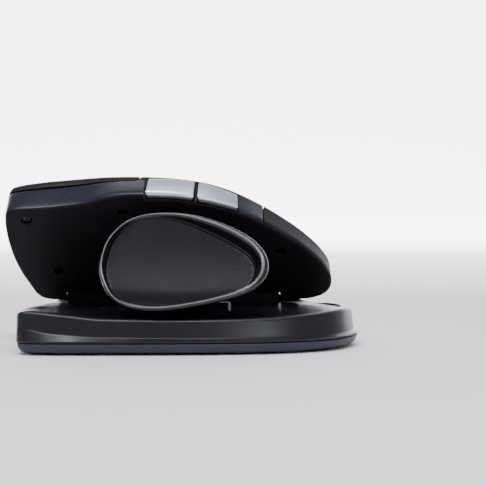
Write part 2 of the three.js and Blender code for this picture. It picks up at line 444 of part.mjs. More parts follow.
// spring tabs that reach back under the shell
const underRoof = inner.translate([0, 0, -0.5]), lowRoof = inner.translate([0, 0, -1.8]);
const tabBand = (v0, v1) => underRoof.subtract(lowRoof).intersect(vbox(KEY_REAR_X - 5, KEY_REAR_X + 6, v0, v1, 9, 30));
const tabJoin = (v0, v1) => inDome.subtract(lowRoof).intersect(vbox(KEY_REAR_X - 5, KEY_REAR_X - 1.4, v0, v1, 9, 30));
left = left.add(tabBand(36, 43)).add(tabJoin(36, 43));
right = right.add(tabBand(9, 17)).add(tabJoin(9, 17));
put(body, "left_key", largest(left), M.slate);
put(body, "right_key", largest(right), M.slate);

// scroll wheel: hub, rubber tyre and axle
const wheelGroup = new THREE.Group();
body.add(wheelGroup);
const wy = -WHEEL.v, wx = WHEEL.x, ww = WHEEL.w;
const lathe = (pts, seg) => {
  const g = new THREE.LatheGeometry(pts.map((p) => new THREE.Vector2(p[0], p[1])), seg);
  return solid(g).translate([wx, wy, ww]);
};
const AX_R = 1.2;
put(wheelGroup, "wheel_hub", cyl("y", 6.5, 5.6, wx, wy, ww, 32).subtract(cyl("y", 5.3, 2, wx, wy - 2.6, ww, 28)).subtract(cyl("y", 5.3, 2, wx, wy + 2.6, ww, 28)).add(cyl("y", AX_R, 13.4, wx, wy + 0.9, ww, 16)), M.silver);
let tyre = cyl("y", WHEEL.r, 6.2, wx, wy, ww, 36).subtract(cyl("y", 6.65, 8, wx, wy, ww, 32));
put(wheelGroup, "wheel_tyre", tyre, M.rubber);
// wheel cradle: two posts that carry the axle, on the board, free to dip for the wheel click
const cradle = add(
  vbox(wx - 2.6, wx + 2.6, WHEEL.v - 5.5, WHEEL.v - 4.1, 7.4, ww + 1.9), vbox(wx - 2.6, wx + 2.6, WHEEL.v + 4.1, WHEEL.v + 5.5, 7.4, ww + 1.9),
  vbox(wx + 8.5, wx + 10.3, WHEEL.v - 5.5, WHEEL.v + 5.5, 7.4, 9.4),
  vbox(wx - 2.6, wx + 10.3, WHEEL.v - 5.5, WHEEL.v - 4.1, 7.4, 9.4), vbox(wx - 2.6, wx + 10.3, WHEEL.v + 4.1, WHEEL.v + 5.5, 7.4, 9.4),
).subtract(cyl("y", AX_R + 0.08, 30, wx, wy, ww, 20));
put(body, "wheel_cradle", cradle, M.white);

// side buttons
function sideButton(poly) {
  let m = proud.subtract(deep).intersect(prismV(poly, 36, 70));
  return largest(m);
}
const stem = (x, v0, v1) => vbox(x - 1.4, x + 1.4, v0, v1, 6.4, 9.0);
put(body, "front_side_button", sideButton(BTN_A).add(stem(-4, 46.4, 50.5)), M.silver);
put(body, "rear_side_button", sideButton(BTN_B).add(stem(12, 42.7, 46.6)), M.silver);

// mode button and light window on the middle strip
const mode = bodySolid(-0.5).subtract(bodySolid(1.6, -1)).intersect(vbox(MODE.x0, MODE.x1, MODE.v0, MODE.v1, 10, 30)).add(vbox(-22, -20, 25.8, 27.8, 10.6, 17.4));
put(body, "mode_button", mode, M.silver);
const led = outer.subtract(bodySolid(1.8, -1)).intersect(vbox(LED.x0, LED.x1, LED.v0, LED.v1, 10, 30)).add(vbox(-12.6, -11.2, 26.1, 27.5, 8, 18).intersect(inDome));
put(body, "light_window", led, M.clear);

// electronics
let pcb = vbox(-54, 24, 10.5, 43.5, PCB_W[0], PCB_W[1]).subtract(vbox(-54, -32, 40.5, 46, 4, 6)).subtract(vbox(wx - 9.2, wx + 9.2, WHEEL.v - 3.9, WHEEL.v + 3.9, 3, 7));
pcb = pcb.subtract(vbox(-56, -49.5, USB.v - 5, USB.v + 5, 3, 7)).subtract(vbox(16, 26, 38, 46, 4, 6));
put(body, "main_board", pcb, M.pcb);
const sw = (n, x, v) => put(body, n, vbox(x - 3.2, x + 3.2, v - 2.9, v + 2.9, 5.9, 10.0).add(vbox(x - 0.9, x + 0.9, v - 1.2, v + 1.2, 9.9, 10.9)), M.chip);
sw("left_switch", SWL[0], SWL[1]);
sw("right_switch", SWR[0], SWR[1]);
const swSide = (n, x, v1) => put(body, n, vbox(x - 3, x + 3, v1 - 4.2, v1, 5.9, 9.9).add(vbox(x - 0.8, x + 0.8, v1 - 0.1, v1 + 0.6, 7.0, 8.6)), M.chip);
swSide("front_side_switch", -4, 44.8);
swSide("rear_side_switch", 12, 41.0);
put(body, "mode_switch", vbox(-24, -18, 23.8, 29.8, 5.9, 9.2).add(cyl("z", 1.2, 0.8, -21, -26.8, 9.5, 12)), M.chip);
put(body, "wheel_click_switch", vbox(-29.0, -26.0, 17.6, 21.6, 5.9, 6.9), M.chip);
put(body, "wheel_encoder", vbox(wx - 3.6, wx + 3.6, WHEEL.v - 13.2, WHEEL.v - 7.9, 5.9, 12.2), M.chip);
put(body, "battery_cell", vbox(-9, 23, 13, 33, 6.2, 11.2), M.cell);
put(body, "charging_socket", vbox(-59.2, -50.2, USB.v - USB.half, USB.v + USB.half, USB.w - USB.h, USB.w + USB.h).subtract(vbox(-62, -52, USB.v - USB.half + 0.4, USB.v + USB.half - 0.4, USB.w - USB.h + 0.4, USB.w + USB.h - 0.4)).add(vbox(-58.6, -51, USB.v - 3.2, USB.v + 3.2, USB.w - 0.35, USB.w + 0.35)), M.steel);

// ================================================================ THUMB REST
// T-rail on the underside
const rail = add(vbox(RAIL.x - 3, RAIL.x + 3, RAIL.v0, RAIL.v1, -2.4, -0.3), vbox(RAIL.x - 6, RAIL.x + 6, RAIL.v0, RAIL.v1, -4.6, -2.3));
put(body, "thumb_rail", rail, M.black);
// carriage that slides along the rail
const carriage = vbox(RAIL.x - 9, RAIL.x + 9, PIVOT.v - 6.5, PIVOT.v + 6.5, -9.4, -0.7)
  .subtract(vbox(RAIL.x - 3.4, RAIL.x + 3.4, 20, 60, -2.8, 0)).subtract(vbox(RAIL.x - 6.4, RAIL.x + 6.4, 20, 60, -5.0, -1.9))
  .subtract(cyl("z", 2.1, 8, PIVOT.x, -PIVOT.v, -9.6, 20));
put(body, "thumb_carriage", carriage, M.black);
// arm: a disc under the carriage, a post, and an elbow out to the back of the dish
const lean = rad(DISH_LEAN), tiltR = rad(TILT);
// dish frame: origin DISH_C, u = +X, t = up along the face, n = out of the face
const dish = new THREE.Group();
dish.position.set(...DISH_C);
{
  const n = new THREE.Vector3(0, -Math.cos(lean), Math.sin(lean)), t = new THREE.Vector3(0, Math.sin(lean), Math.cos(lean));
  dish.quaternion.setFromRotationMatrix(new THREE.Matrix4().makeBasis(new THREE.Vector3(1, 0, 0), t, n));
}
root.add(dish);
// dish outline (u, t) and the height of its rim (n)
const DISH_OUT = [
  [-27.0, -1, -0.6], [-26, 5.5, -0.9], [-23.4, 10.9, -1.1], [-18.5, 15.9, -1.2], [-12.5, 18.5, -1.2], [-5.2, 19.3, -1.1], [3, 18.8, -1.0], [11.5, 16.5, -1.0],
  [19.4, 12.9, -1.0], [25.8, 8.2, -1.0], [29.2, 2.4, -0.7], [29.0, -3.8, 0.2], [25.4, -9.2, 1.3], [19.4, -12.6, 2.3], [12.0, -15.0, 3.0], [4, -16.9, 3.5], [-4, -18.1, 3.5], [-11.5, -18.1, 3.2],
  [-18, -16.4, 2.4], [-22.6, -12.9, 1.3], [-25.6, -7.4, 0.3],
];
// width of the rim round the outline, by direction in degrees: thin at the upper front, full at the rear
const rimWidth = [[-180, 0.45], [-150, 0.5], [-120, 0.56], [-90, 0.56], [-60, 0.62], [-30, 0.78], [0, 1], [30, 1], [60, 0.88], [80, 0.68], [100, 0.48], [120, 0.34], [150, 0.32], [180, 0.45]];
const ND = 48;
const dOut = closedSpline(DISH_OUT, ND);
const dishK = dOut.map((p) => table(rimWidth, (Math.atan2(p[1], p[0]) * 180) / Math.PI));
const dishN = (u, t) => -8.2 + 0.019 * t * t + 0.0052 * u * u + 5.0 * smooth(-6, -18, t); // inner face
function dishRings(kind) {
  const R = [];
  const ring = (d, n) => inset(dOut, d).map((p, i) => [p[0], p[1], n(p, dOut[i][2])]);
  const front = (d, n) => ring(dishK.map((k) => k * d), n);
  const sp = (p, s) => [lerp(p[0], clamp(p[0] * 0.42, -9, 10), s), lerp(p[1], 0, s)];
  if (kind === "shell") {
    // back of the dish, from the middle out, then over the rim and down the inside to the pad seat
    const b = inset(dOut, 2.2);
    for (const s of [0.9, 0.55, 0.25]) R.push(b.map((p) => { const q = sp(p, s); return [q[0], q[1], dishN(q[0], q[1]) - 3.0]; }));
    R.push(ring(1.4, (p, h) => h - 3.6));
    R.push(ring(0.35, (p, h) => h - 2.6));
    R.push(ring(0.0, (p, h) => h - 1.5));
    R.push(front(0.4, (p, h) => h - 0.45));
    R.push(front(1.4, (p, h) => h));
    R.push(front(2.7, (p, h) => Math.max(h - 0.35, dishN(p[0], p[1]) + 0.2)));
    R.push(front(4.0, (p, h) => Math.max(h - 1.5, dishN(p[0], p[1]) + 0.2)));
    const c = inset(dOut, dishK.map((k) => k * 4.6));
    R.push(c.map((p) => [p[0], p[1], dishN(p[0], p[1]) - 1.2]));
    for (const s of [0.3, 0.62, 0.9]) R.push(c.map((p) => { const q = sp(p, s); return [q[0], q[1], dishN(q[0], q[1]) - 1.2]; }));
  } else {
    const c = inset(dOut, dishK.map((k) => k * 4.6 + 0.35));
    for (const s of [0.9, 0.62, 0.3]) R.push(c.map((p) => { const q = sp(p, s); return [q[0], q[1], dishN(q[0], q[1]) - 0.9]; }));
    R.push(c.map((p) => [p[0], p[1], dishN(p[0], p[1]) - 0.9]));
    R.push(c.map((p) => [p[0], p[1], dishN(p[0], p[1]) + 0.05]));
    for (const s of [0.3, 0.62, 0.9]) R.push(c.map((p) => { const q = sp(p, s); return [q[0], q[1], dishN(q[0], q[1]) + 0.05]; }));
  }
  return R;
}
const BOSS_N = -15.4; // back face of the boss that meets the arm
let dishShell = solid(loft(dishRings("shell"))).add(cyl("z", 5.4, 5.2, 2, 1, BOSS_N + 2.6, 24));
dishShell = dishShell.subtract(cyl("z", 1.3, 4, 2, 1, BOSS_N + 1.4, 16));
put(dish, "thumb_rest", dishShell, M.black);
put(dish, "thumb_pad", solid(loft(dishRings("pad"))), M.rubber);
// the arm is built in the body's flat frame, and its end follows the back of the dish
{
  // flat-frame place of a point given in the dish frame
  const q = (u, t, n) => {
    const P = new THREE.Vector3(u, t, n).applyQuaternion(dish.quaternion).add(dish.position);
    P.y -= BODY_Y;
    P.z -= BODY_Z;
    P.applyAxisAngle(new THREE.Vector3(1, 0, 0), tiltR);
    return P;
  };
  const end = q(2, 1, BOSS_N - 0.35), inn = q(2, 1, BOSS_N - 4.4);
  const disc = cyl("z", 7.2, 3, PIVOT.x, -PIVOT.v, -11.25, 28);
  const axisN = end.clone().sub(inn).normalize();
  const plate = (() => {
    const g = new THREE.CylinderGeometry(6.2, 6.2, 4.05, 28);
    g.applyQuaternion(new THREE.Quaternion().setFromUnitVectors(new THREE.Vector3(0, 1, 0), axisN));
    const c = end.clone().add(inn).multiplyScalar(0.5);
    return solid(g.translate(c.x, c.y, c.z));
  })();
  const bar = (() => {
    const a = new THREE.Vector3(PIVOT.x, -PIVOT.v, -12.2), b = inn.clone().addScaledVector(axisN, 1.4);
    const mid = new THREE.Vector3(PIVOT.x, -(PIVOT.v + 0.5), b.z + 2.5);
    const path = new THREE.CatmullRomCurve3([a, mid, b]);
    const s = new THREE.Shape();
    for (let k = 0; k < 12; k++) {
      const an = (k / 12) * 2 * Math.PI;
      k ? s.lineTo(4.2 * Math.cos(an), 4.2 * Math.sin(an)) : s.moveTo(4.2, 0);
    }
    return solid(new THREE.ExtrudeGeometry(s, { steps: 10, bevelEnabled: false, extrudePath: path }));
  })();
  const dv = (g) => g;
  let arm = disc.add(plate).add(bar).add(cyl("z", 1.75, 4.6, PIVOT.x, -PIVOT.v, -7.9, 20));
  // screw well through the plate into the boss
  const hole = (r, len, d) => {
    const g = new THREE.CylinderGeometry(r, r, len, 18);
    g.applyQuaternion(new THREE.Quaternion().setFromUnitVectors(new THREE.Vector3(0, 1, 0), axisN));
    const c = end.clone().addScaledVector(axisN, d);
    return solid(g.translate(c.x, c.y, c.z));
  };
  const halfSpaceCut = (() => {
    // nothing of the arm may stand in front of the plate's face
    const g = new THREE.BoxGeometry(60, 40, 60);
    g.applyQuaternion(new THREE.Quaternion().setFromUnitVectors(new THREE.Vector3(0, 1, 0), axisN));
    const c = end.clone().addScaledVector(axisN, 20);
    return solid(g.translate(c.x, c.y, c.z));
  })();
  arm = arm.subtract(halfSpaceCut.intersect(vbox(-40, 40, 0, 90, -60, -13.4)));
  arm = arm.subtract(hole(1.45, 30, 0)).subtract(hole(2.9, 14, -7 - 2.6));
  put(body, "thumb_arm", arm, M.black);
  const sgeo = add(hole(2.5, 1.4, -3.4), hole(1.15, 6, 0));
  put(body, "swivel_screw", sgeo, M.steel);
}

export default root;
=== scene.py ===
"""Tilting ergonomic mouse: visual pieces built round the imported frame. Lengths are in millimetres while modelling."""
import bpy, bmesh, math
import numpy as np
from mathutils import Vector, Matrix
from mathutils.bvhtree import BVHTree


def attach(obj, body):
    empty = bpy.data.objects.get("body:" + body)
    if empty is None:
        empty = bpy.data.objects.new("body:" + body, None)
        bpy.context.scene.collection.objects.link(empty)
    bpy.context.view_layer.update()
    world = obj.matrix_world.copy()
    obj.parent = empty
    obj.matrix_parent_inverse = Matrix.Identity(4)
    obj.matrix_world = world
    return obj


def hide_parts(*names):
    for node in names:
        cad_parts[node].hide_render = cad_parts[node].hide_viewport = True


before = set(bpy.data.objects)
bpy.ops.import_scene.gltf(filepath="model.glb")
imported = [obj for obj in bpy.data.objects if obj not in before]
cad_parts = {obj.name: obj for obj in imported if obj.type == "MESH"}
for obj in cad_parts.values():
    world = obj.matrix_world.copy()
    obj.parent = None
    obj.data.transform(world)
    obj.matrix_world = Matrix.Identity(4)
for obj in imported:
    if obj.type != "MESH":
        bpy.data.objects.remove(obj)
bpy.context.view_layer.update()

# ---------------------------------------------------------------- the part's dimensions
TILT, BODY_Y, BODY_Z = 42.0, 27.0, 15.5
HV, HW = -1.6, 3.9                                  # hinge axis in the body's flat frame
_c, _s = math.cos(math.radians(TILT)), math.sin(math.radians(TILT))
HINGE_Y, HINGE_Z = BODY_Y - HV * _c + HW * _s, BODY_Z + HV * _s + HW * _c
KNUCKLE, PIN = 2.8, 1.15
WALL, SEAM_Z, FLOOR_Z = 2.0, 4.05, 0.7
KEY_REAR_X, SPLIT_T, SPLIT_P, PINKY_EDGE, PALM_X = -14.2, 31.1, 22.5, 4.2, 28.0
WHEEL = (-38.5, 26.8, 10.6, 8.0)
DISH_C, DISH_LEAN = (0.0, -27.0, 30.0), math.radians(27)
EDGE_R = 2.6

BODY_M = Matrix.Translation((0, BODY_Y, BODY_Z)) @ Matrix.Rotation(-math.radians(TILT), 4, "X")
_n = Vector((0, -math.cos(DISH_LEAN), math.sin(DISH_LEAN)))
_t = Vector((0, math.sin(DISH_LEAN), math.cos(DISH_LEAN)))
DISH_M = Matrix(((1, _t.x, _n.x, DISH_C[0]), (0, _t.y, _n.y, DISH_C[1]), (0, _t.z, _n.z, DISH_C[2]), (0, 0, 0, 1)))

# ---------------------------------------------------------------- numbers
def lerp(a, b, t): return a + (b - a) * t
def clamp(x, a, b): return min(b, max(a, x))
def smooth(a, b, x):
    t = clamp((x - a) / (b - a), 0.0, 1.0)
    return t * t * (3 - 2 * t)
def table(rows, x):
    if x <= rows[0][0]: return rows[0][1]
    for i in range(1, len(rows)):
        if x <= rows[i][0]:
            return lerp(rows[i - 1][1], rows[i][1], smooth(rows[i - 1][0], rows[i][0], x))
    return rows[-1][1]
def closed_spline(rows, n):
    m, out = len(rows), []
    for k in range(n):
        u = k / n * m
        i = int(u); t = u - i
        a, b, d, e = (np.array(rows[(i + j) % m], float) for j in (-1, 0, 1, 2))
        out.append(0.5 * (2 * b + (d - a) * t + (2 * a - 5 * b + 4 * d - e) * t * t + (3 * b - a - 3 * d + e) * t ** 3))
    return np.array(out)
def relax(pts, times=2):
    for _ in range(times):
        pts = 0.5 * pts + 0.25 * (np.roll(pts, 1, 0) + np.roll(pts, -1, 0))
    return pts
def inset(pts, d):
    a, b = np.roll(pts, 1, 0), np.roll(pts, -1, 0)
    area = float(np.sum(pts[:, 0] * b[:, 1] - b[:, 0] * pts[:, 1]))
    s = 1.0 if area > 0 else -1.0
    t = b[:, :2] - a[:, :2]
    t /= np.maximum(np.linalg.norm(t, axis=1, keepdims=True), 1e-9)
    out = pts.copy()
    d = np.asarray(d, float) * np.ones(len(pts))
    out[:, 0] += -s * t[:, 1] * d
    out[:, 1] += s * t[:, 0] * d
    return out

# ---------------------------------------------------------------- mesh helpers
def new_obj(name, verts, faces):
    me = bpy.data.meshes.new(name)
    me.from_pydata([tuple(map(float, v)) for v in verts], [], [tuple(f) for f in faces])
    me.validate()
    o = bpy.data.objects.new(name, me)
    bpy.context.scene.collection.objects.link(o)
    return o
def fix_normals(o):
    bm = bmesh.new(); bm.from_mesh(o.data)
    bmesh.ops.recalc_face_normals(bm, faces=bm.faces)
    bm.to_mesh(o.data); bm.free()
    return o
def loft(name, rings, close=False):
    """closed body through rings of points; close joins the last ring to the first instead of capping"""
    n, V, F = len(rings[0]), [], []
    for r in rings: V.extend(r)
    m = len(rings)
    for j in range(m if close else m - 1):
        k = (j + 1) % m
        for i in range(n):
            i2 = (i + 1) % n
            F.append((j * n + i, j * n + i2, k * n + i2, k * n + i))
    if not close:
        for base in (0, m - 1):
            c = len(V)
            V.append(np.mean(np.array(rings[base]), axis=0))
            for i in range(n):
                F.append((base * n + i, base * n + (i + 1) % n, c))
    return fix_normals(new_obj(name, V, F))
def bake(o):
    """applies the modifiers"""
    dg = bpy.context.evaluated_depsgraph_get()
    me = bpy.data.meshes.new_from_object(o.evaluated_get(dg))
    o.modifiers.clear()
    old = o.data
    o.data = me
    bpy.data.meshes.remove(old)
    return o
def kill(*objs):
    for o in objs:
        me = o.data
        bpy.data.objects.remove(o)
        if me.users == 0: bpy.data.meshes.remove(me)
def copy(o, name=None, move=(0, 0, 0)):
    c = o.copy(); c.data = o.data.copy()
    if name: c.name = name
    bpy.context.scene.collection.objects.link(c)
    if any(move): c.data.transform(Matrix.Translation(move))
    return c
def boolean(a, b, op="DIFFERENCE", keep=False):
    m = a.modifiers.new("b", "BOOLEAN")
    m.operation, m.object, m.solver = op, b, "MANIFOLD"
    before = len(a.data.vertices)
    bake(a)
    if not keep: kill(b)
    return a
def cut(a, *bs):
    for b in bs: boolean(a, b, "DIFFERENCE")
    return a
def join_solid(a, *bs):
    for b in bs: boolean(a, b, "UNION")
    return a
def box(x0, y0, z0, x1, y1, z1, name="t"):
    v = [(x, y, z) for x in (x0, x1) for y in (y0, y1) for z in (z0, z1)]
    f = [(0, 1, 3, 2), (4, 6, 7, 5), (0, 4, 5, 1), (2, 3, 7, 6), (0, 2, 6, 4), (1, 5, 7, 3)]
    return fix_normals(new_obj(name, v, f))
def vbox(x0, x1, v0, v1, w0, w1, name="t"): return box(x0, -v1, w0, x1, -v0, w1, name)
def lathe(profile, n, m=Matrix.Identity(4), name="t"):
    """solid of revolution about z of a profile of (r, z) whose ends lie on the axis"""
    V, F, rows = [], [], []
    for r, z in profile:
        if r < 1e-6:
            rows.append([len(V)]); V.append((0, 0, z))
        else:
            rows.append(list(range(len(V), len(V) + n)))
            V += [(r * math.cos(2 * math.pi * k / n), r * math.sin(2 * math.pi * k / n), z) for k in range(n)]
    for a, b in zip(rows, rows[1:]):
        for k in range(n):
            k2 = (k + 1) % n
            if len(a) == 1 and len(b) == 1: continue
            if len(a) == 1: F.append((a[0], b[k], b[k2]))
            elif len(b) == 1: F.append((a[k], b[0], a[k2]))
            else: F.append((a[k], b[k], b[k2], a[k2]))
    o = fix_normals(new_obj(name, V, F))
    o.data.transform(m)
    return o
def prism(poly, z0, z1, m=Matrix.Identity(4), name="t"):
    n = len(poly)
    V = [(p[0], p[1], z0) for p in poly] + [(p[0], p[1], z1) for p in poly]
    F = [tuple(range(n)), tuple(range(n, 2 * n))] + [(i, (i + 1) % n, n + (i + 1) % n, n + i) for i in range(n)]
    o = fix_normals(new_obj(name, V, F))
    o.data.transform(m)
    return o
def rounded(poly, r, seg=6):
    """polygon with its corners rounded by r (one radius, or one per corner)"""
    out, n = [], len(poly)
    rr = r if isinstance(r, (list, tuple)) else [r] * n
    for i, p in enumerate(poly):
        p = Vector(p).to_2d(); a = Vector(poly[i - 1]).to_2d(); b = Vector(poly[(i + 1) % n]).to_2d()
        d1, d2 = (a - p), (b - p)
        ang = d1.angle(d2)
        k = min(rr[i] / math.tan(ang / 2), d1.length * 0.48, d2.length * 0.48)
        s, e = p + d1.normalized() * k, p + d2.normalized() * k
        for j in range(seg + 1):
            t = j / seg
            q = s.lerp(p, t).lerp(p.lerp(e, t), t)
            out.append((q.x, q.y))
    return out
def pill(l, h, seg=14):
    r, p = h / 2, []
    for k in range(seg + 1):
        a = -math.pi / 2 + k / seg * math.pi
        p.append((l / 2 - r + r * math.cos(a), r * math.sin(a)))
    for k in range(seg + 1):
        a = math.pi / 2 + k / seg * math.pi
        p.append((-l / 2 + r + r * math.cos(a), r * math.sin(a)))
    return p
def bevel(o, width, seg=3, angle=35, clamp_=True):
    m = o.modifiers.new("bev", "BEVEL")
    m.width, m.segments, m.limit_method, m.angle_limit = width, seg, "ANGLE", math.radians(angle)
    m.use_clamp_overlap = clamp_
    m.harden_normals = False
    return bake(o)
def merge(o, dist):
    bm = bmesh.new(); bm.from_mesh(o.data)
    bmesh.ops.remove_doubles(bm, verts=bm.verts, dist=dist)
    bmesh.ops.dissolve_degenerate(bm, edges=bm.edges, dist=dist * 0.5)
    bm.to_mesh(o.data); bm.free()
    return o
def remeshed(o, voxel, smooth_=6, factor=0.5, keep=None):
    m = o.modifiers.new("r", "REMESH"); m.mode = "VOXEL"; m.voxel_size = voxel; m.adaptivity = 0
    s = o.modifiers.new("s", "SMOOTH"); s.factor, s.iterations = factor, smooth_
    bake(o)
    return o
def parts_of(o):
    """separate connected meshes, as new objects"""
    bm = bmesh.new(); bm.from_mesh(o.data)
    seen, groups = set(), []
    bm.verts.ensure_lookup_table()
    for v in bm.verts:
        if v.index in seen: continue
        stack, g = [v], []
        seen.add(v.index)
        while stack:
            q = stack.pop(); g.append(q.index)
            for e in q.link_edges:
                w = e.other_vert(q)
                if w.index not in seen:
                    seen.add(w.index); stack.append(w)
        groups.append(g)
    co = np.array([v.co[:] for v in bm.verts])
    faces = [[v.index for v in f.verts] for f in bm.faces]
    bm.free()
    out = []
    label = np.zeros(len(co), int)
    for k, g in enumerate(groups): label[g] = k
    fl = [label[f[0]] for f in faces]
    for k, g in enumerate(groups):
        if len(g) < 12: continue
        idx = {v: i for i, v in enumerate(g)}
        out.append(new_obj("part", co[g], [[idx[v] for v in f] for f, l in zip(faces, fl) if l == k]))
    kill(o)
    return out
def centre(o):
    co = np.array([v.co[:] for v in o.data.vertices])
    return (co.min(0) + co.max(0)) / 2, co.max(0) - co.min(0)

MATERIALS = {}
def place(o, name, body, nodes, material, m=Matrix.Identity(4), angle=32):
    """gives a finished piece its name, material and body, and turns millimetres into metres"""
    o.name = name; o.data.name = name
    o.data.transform(Matrix.Scale(0.001, 4) @ m)
    o.data.materials.clear()
    o.data.materials.append(material)
    for p in o.data.polygons: p.use_smooth = True
    bm = bmesh.new(); bm.from_mesh(o.data)
    lim = math.radians(angle)
    for e in bm.edges:
        e.smooth = not (len(e.link_faces) == 2 and e.calc_face_angle(0) > lim)
    bm.to_mesh(o.data); bm.free()
    wn = o.modifiers.new("wn", "WEIGHTED_NORMAL")
    wn.mode, wn.weight, wn.keep_sharp = "FACE_AREA", 50, True
    bake(o)
    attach(o, body)
    if nodes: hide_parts(*nodes)
    return o

# ---------------------------------------------------------------- materials
def node_mat(name):
    m = bpy.data.materials.new(name)
    m.use_nodes = True
    nt = m.node_tree
    b = nt.nodes["Principled BSDF"]
    return m, nt, b
def lin(c):
    return tuple((x / 255 / 12.92) if x / 255 <= 0.04045 else ((x / 255 + 0.055) / 1.055) ** 2.4 for x in c)
def plastic(name, srgb, rough=0.5, grain=0.3, bump=0.12, spec=0.5, rough_var=0.06, tone=0.10, coat=0.0):
    """moulded plastic: spark-eroded grain in the surface, slight tone and gloss variation, a trace of handling shine"""
    m, nt, b = node_mat(name)
    L, N = nt.links.new, nt.nodes.new
    tc = N("ShaderNodeTexCoord")
    big = N("ShaderNodeTexNoise"); big.inputs["Scale"].default_value = 60; big.inputs["Detail"].default_value = 4
    fine = N("ShaderNodeTexNoise"); fine.inputs["Scale"].default_value = 1000 / grain; fine.inputs["Detail"].default_value = 3
    vor = N("ShaderNodeTexVoronoi"); vor.inputs["Scale"].default_value = 700 / grain
    for t in (big, fine, vor): L(tc.outputs["Object"], t.inputs["Vector"])
    c = lin(srgb)
    ramp = N("ShaderNodeValToRGB")
    ramp.color_ramp.elements[0].position, ramp.color_ramp.elements[1].position = 0.35, 0.68
    ramp.color_ramp.elements[0].color = (*[x * (1 - tone) for x in c], 1)
    ramp.color_ramp.elements[1].color = (*[x * (1 + tone) for x in c], 1)
    L(big.outputs["Fac"], ramp.inputs["Fac"])
    L(ramp.outputs["Color"], b.inputs["Base Color"])
    mr = N("ShaderNodeMapRange")
    mr.inputs["From Min"].default_value, mr.inputs["From Max"].default_value = 0.3, 0.7
    mr.inputs["To Min"].default_value, mr.inputs["To Max"].default_value = rough - rough_var, rough + rough_var
    mix = N("ShaderNodeMath"); mix.operation = "ADD"
    half = N("ShaderNodeMath"); half.operation = "MULTIPLY"; half.inputs[1].default_value = 0.5
    L(big.outputs["Fac"], mix.inputs[0]); L(fine.outputs["Fac"], mix.inputs[1]); L(mix.outputs[0], half.inputs[0])
    L(half.outputs[0], mr.inputs["Value"]); L(mr.outputs["Result"], b.inputs["Roughness"])
    bp = N("ShaderNodeBump"); bp.inputs["Strength"].default_value = bump; bp.inputs["Distance"].default_value = 0.00004
    add = N("ShaderNodeMath"); add.operation = "ADD"
    L(fine.outputs["Fac"], add.inputs[0]); L(vor.outputs["Distance"], add.inputs[1])
    L(add.outputs[0], bp.inputs["Height"]); L(bp.outputs["Normal"], b.inputs["Normal"])
    b.inputs["Specular IOR Level"].default_value = spec
    if coat: b.inputs["Coat Weight"].default_value = coat; b.inputs["Coat Roughness"].default_value = 0.25
    return m
def metal(name, srgb, rough=0.3, metallic=1.0, brushed=True):
    m, nt, b = node_mat(name)
    L, N = nt.links.new, nt.nodes.new
    tc = N("ShaderNodeTexCoord")
    mp = N("ShaderNodeMapping"); mp.inputs["Scale"].default_value = (400, 400, 9000) if brushed else (5000, 5000, 5000)
    L(tc.outputs["Object"], mp.inputs["Vector"])
    no = N("ShaderNodeTexNoise"); no.inputs["Scale"].default_value = 1.0; no.inputs["Detail"].default_value = 4
    L(mp.outputs["Vector"], no.inputs["Vector"])
    c = lin(srgb)
    ramp = N("ShaderNodeValToRGB")
    ramp.color_ramp.elements[0].position, ramp.color_ramp.elements[1].position = 0.3, 0.7
    ramp.color_ramp.elements[0].color = (*[x * 0.88 for x in c], 1)
    ramp.color_ramp.elements[1].color = (*[min(1, x * 1.08) for x in c], 1)
    L(no.outputs["Fac"], ramp.inputs["Fac"]); L(ramp.outputs["Color"], b.inputs["Base Color"])
    mr = N("ShaderNodeMapRange"); mr.inputs["To Min"].default_value, mr.inputs["To Max"].default_value = rough * 0.75, rough * 1.25
    L(no.outputs["Fac"], mr.inputs["Value"]); L(mr.outputs["Result"], b.inputs["Roughness"])
    bp = N("ShaderNodeBump"); bp.inputs["Strength"].default_value = 0.08; bp.inputs["Distance"].default_value = 0.00002
    L(no.outputs["Fac"], bp.inputs["Height"]); L(bp.outputs["Normal"], b.inputs["Normal"])
    b.inputs["Metallic"].default_value = metallic
    return m
def board_mat(name):
    m, nt, b = node_mat(name)
    L, N = nt.links.new, nt.nodes.new
    tc = N("ShaderNodeTexCoord")
    br = N("ShaderNodeTexBrick"); br.inputs["Scale"].default_value = 260; br.inputs["Mortar Size"].default_value = 0.03
    br.inputs["Color1"].default_value = (0.008, 0.07, 0.03, 1); br.inputs["Color2"].default_value = (0.01, 0.09, 0.035, 1); br.inputs["Mortar"].default_value = (0.02, 0.16, 0.06, 1)
    L(tc.outputs["Object"], br.inputs["Vector"]); L(br.outputs["Color"], b.inputs["Base Color"])
    b.inputs["Roughness"].default_value = 0.35
    return m
def clear_mat(name, tint=(0.85, 0.9, 0.95)):
    m, nt, b = node_mat(name)
    L, N = nt.links.new, nt.nodes.new
    no = N("ShaderNodeTexNoise"); no.inputs["Scale"].default_value = 300
    tc = N("ShaderNodeTexCoord"); L(tc.outputs["Object"], no.inputs["Vector"])
    mr = N("ShaderNodeMapRange"); mr.inputs["To Min"].default_value, mr.inputs["To Max"].default_value = 0.08, 0.2
    L(no.outputs["Fac"], mr.inputs["Value"]); L(mr.outputs["Result"], b.inputs["Roughness"])
    b.inputs["Base Color"].default_value = (*tint, 1)
    b.inputs["Transmission Weight"].default_value = 0.85
    b.inputs["IOR"].default_value = 1.49
    return m

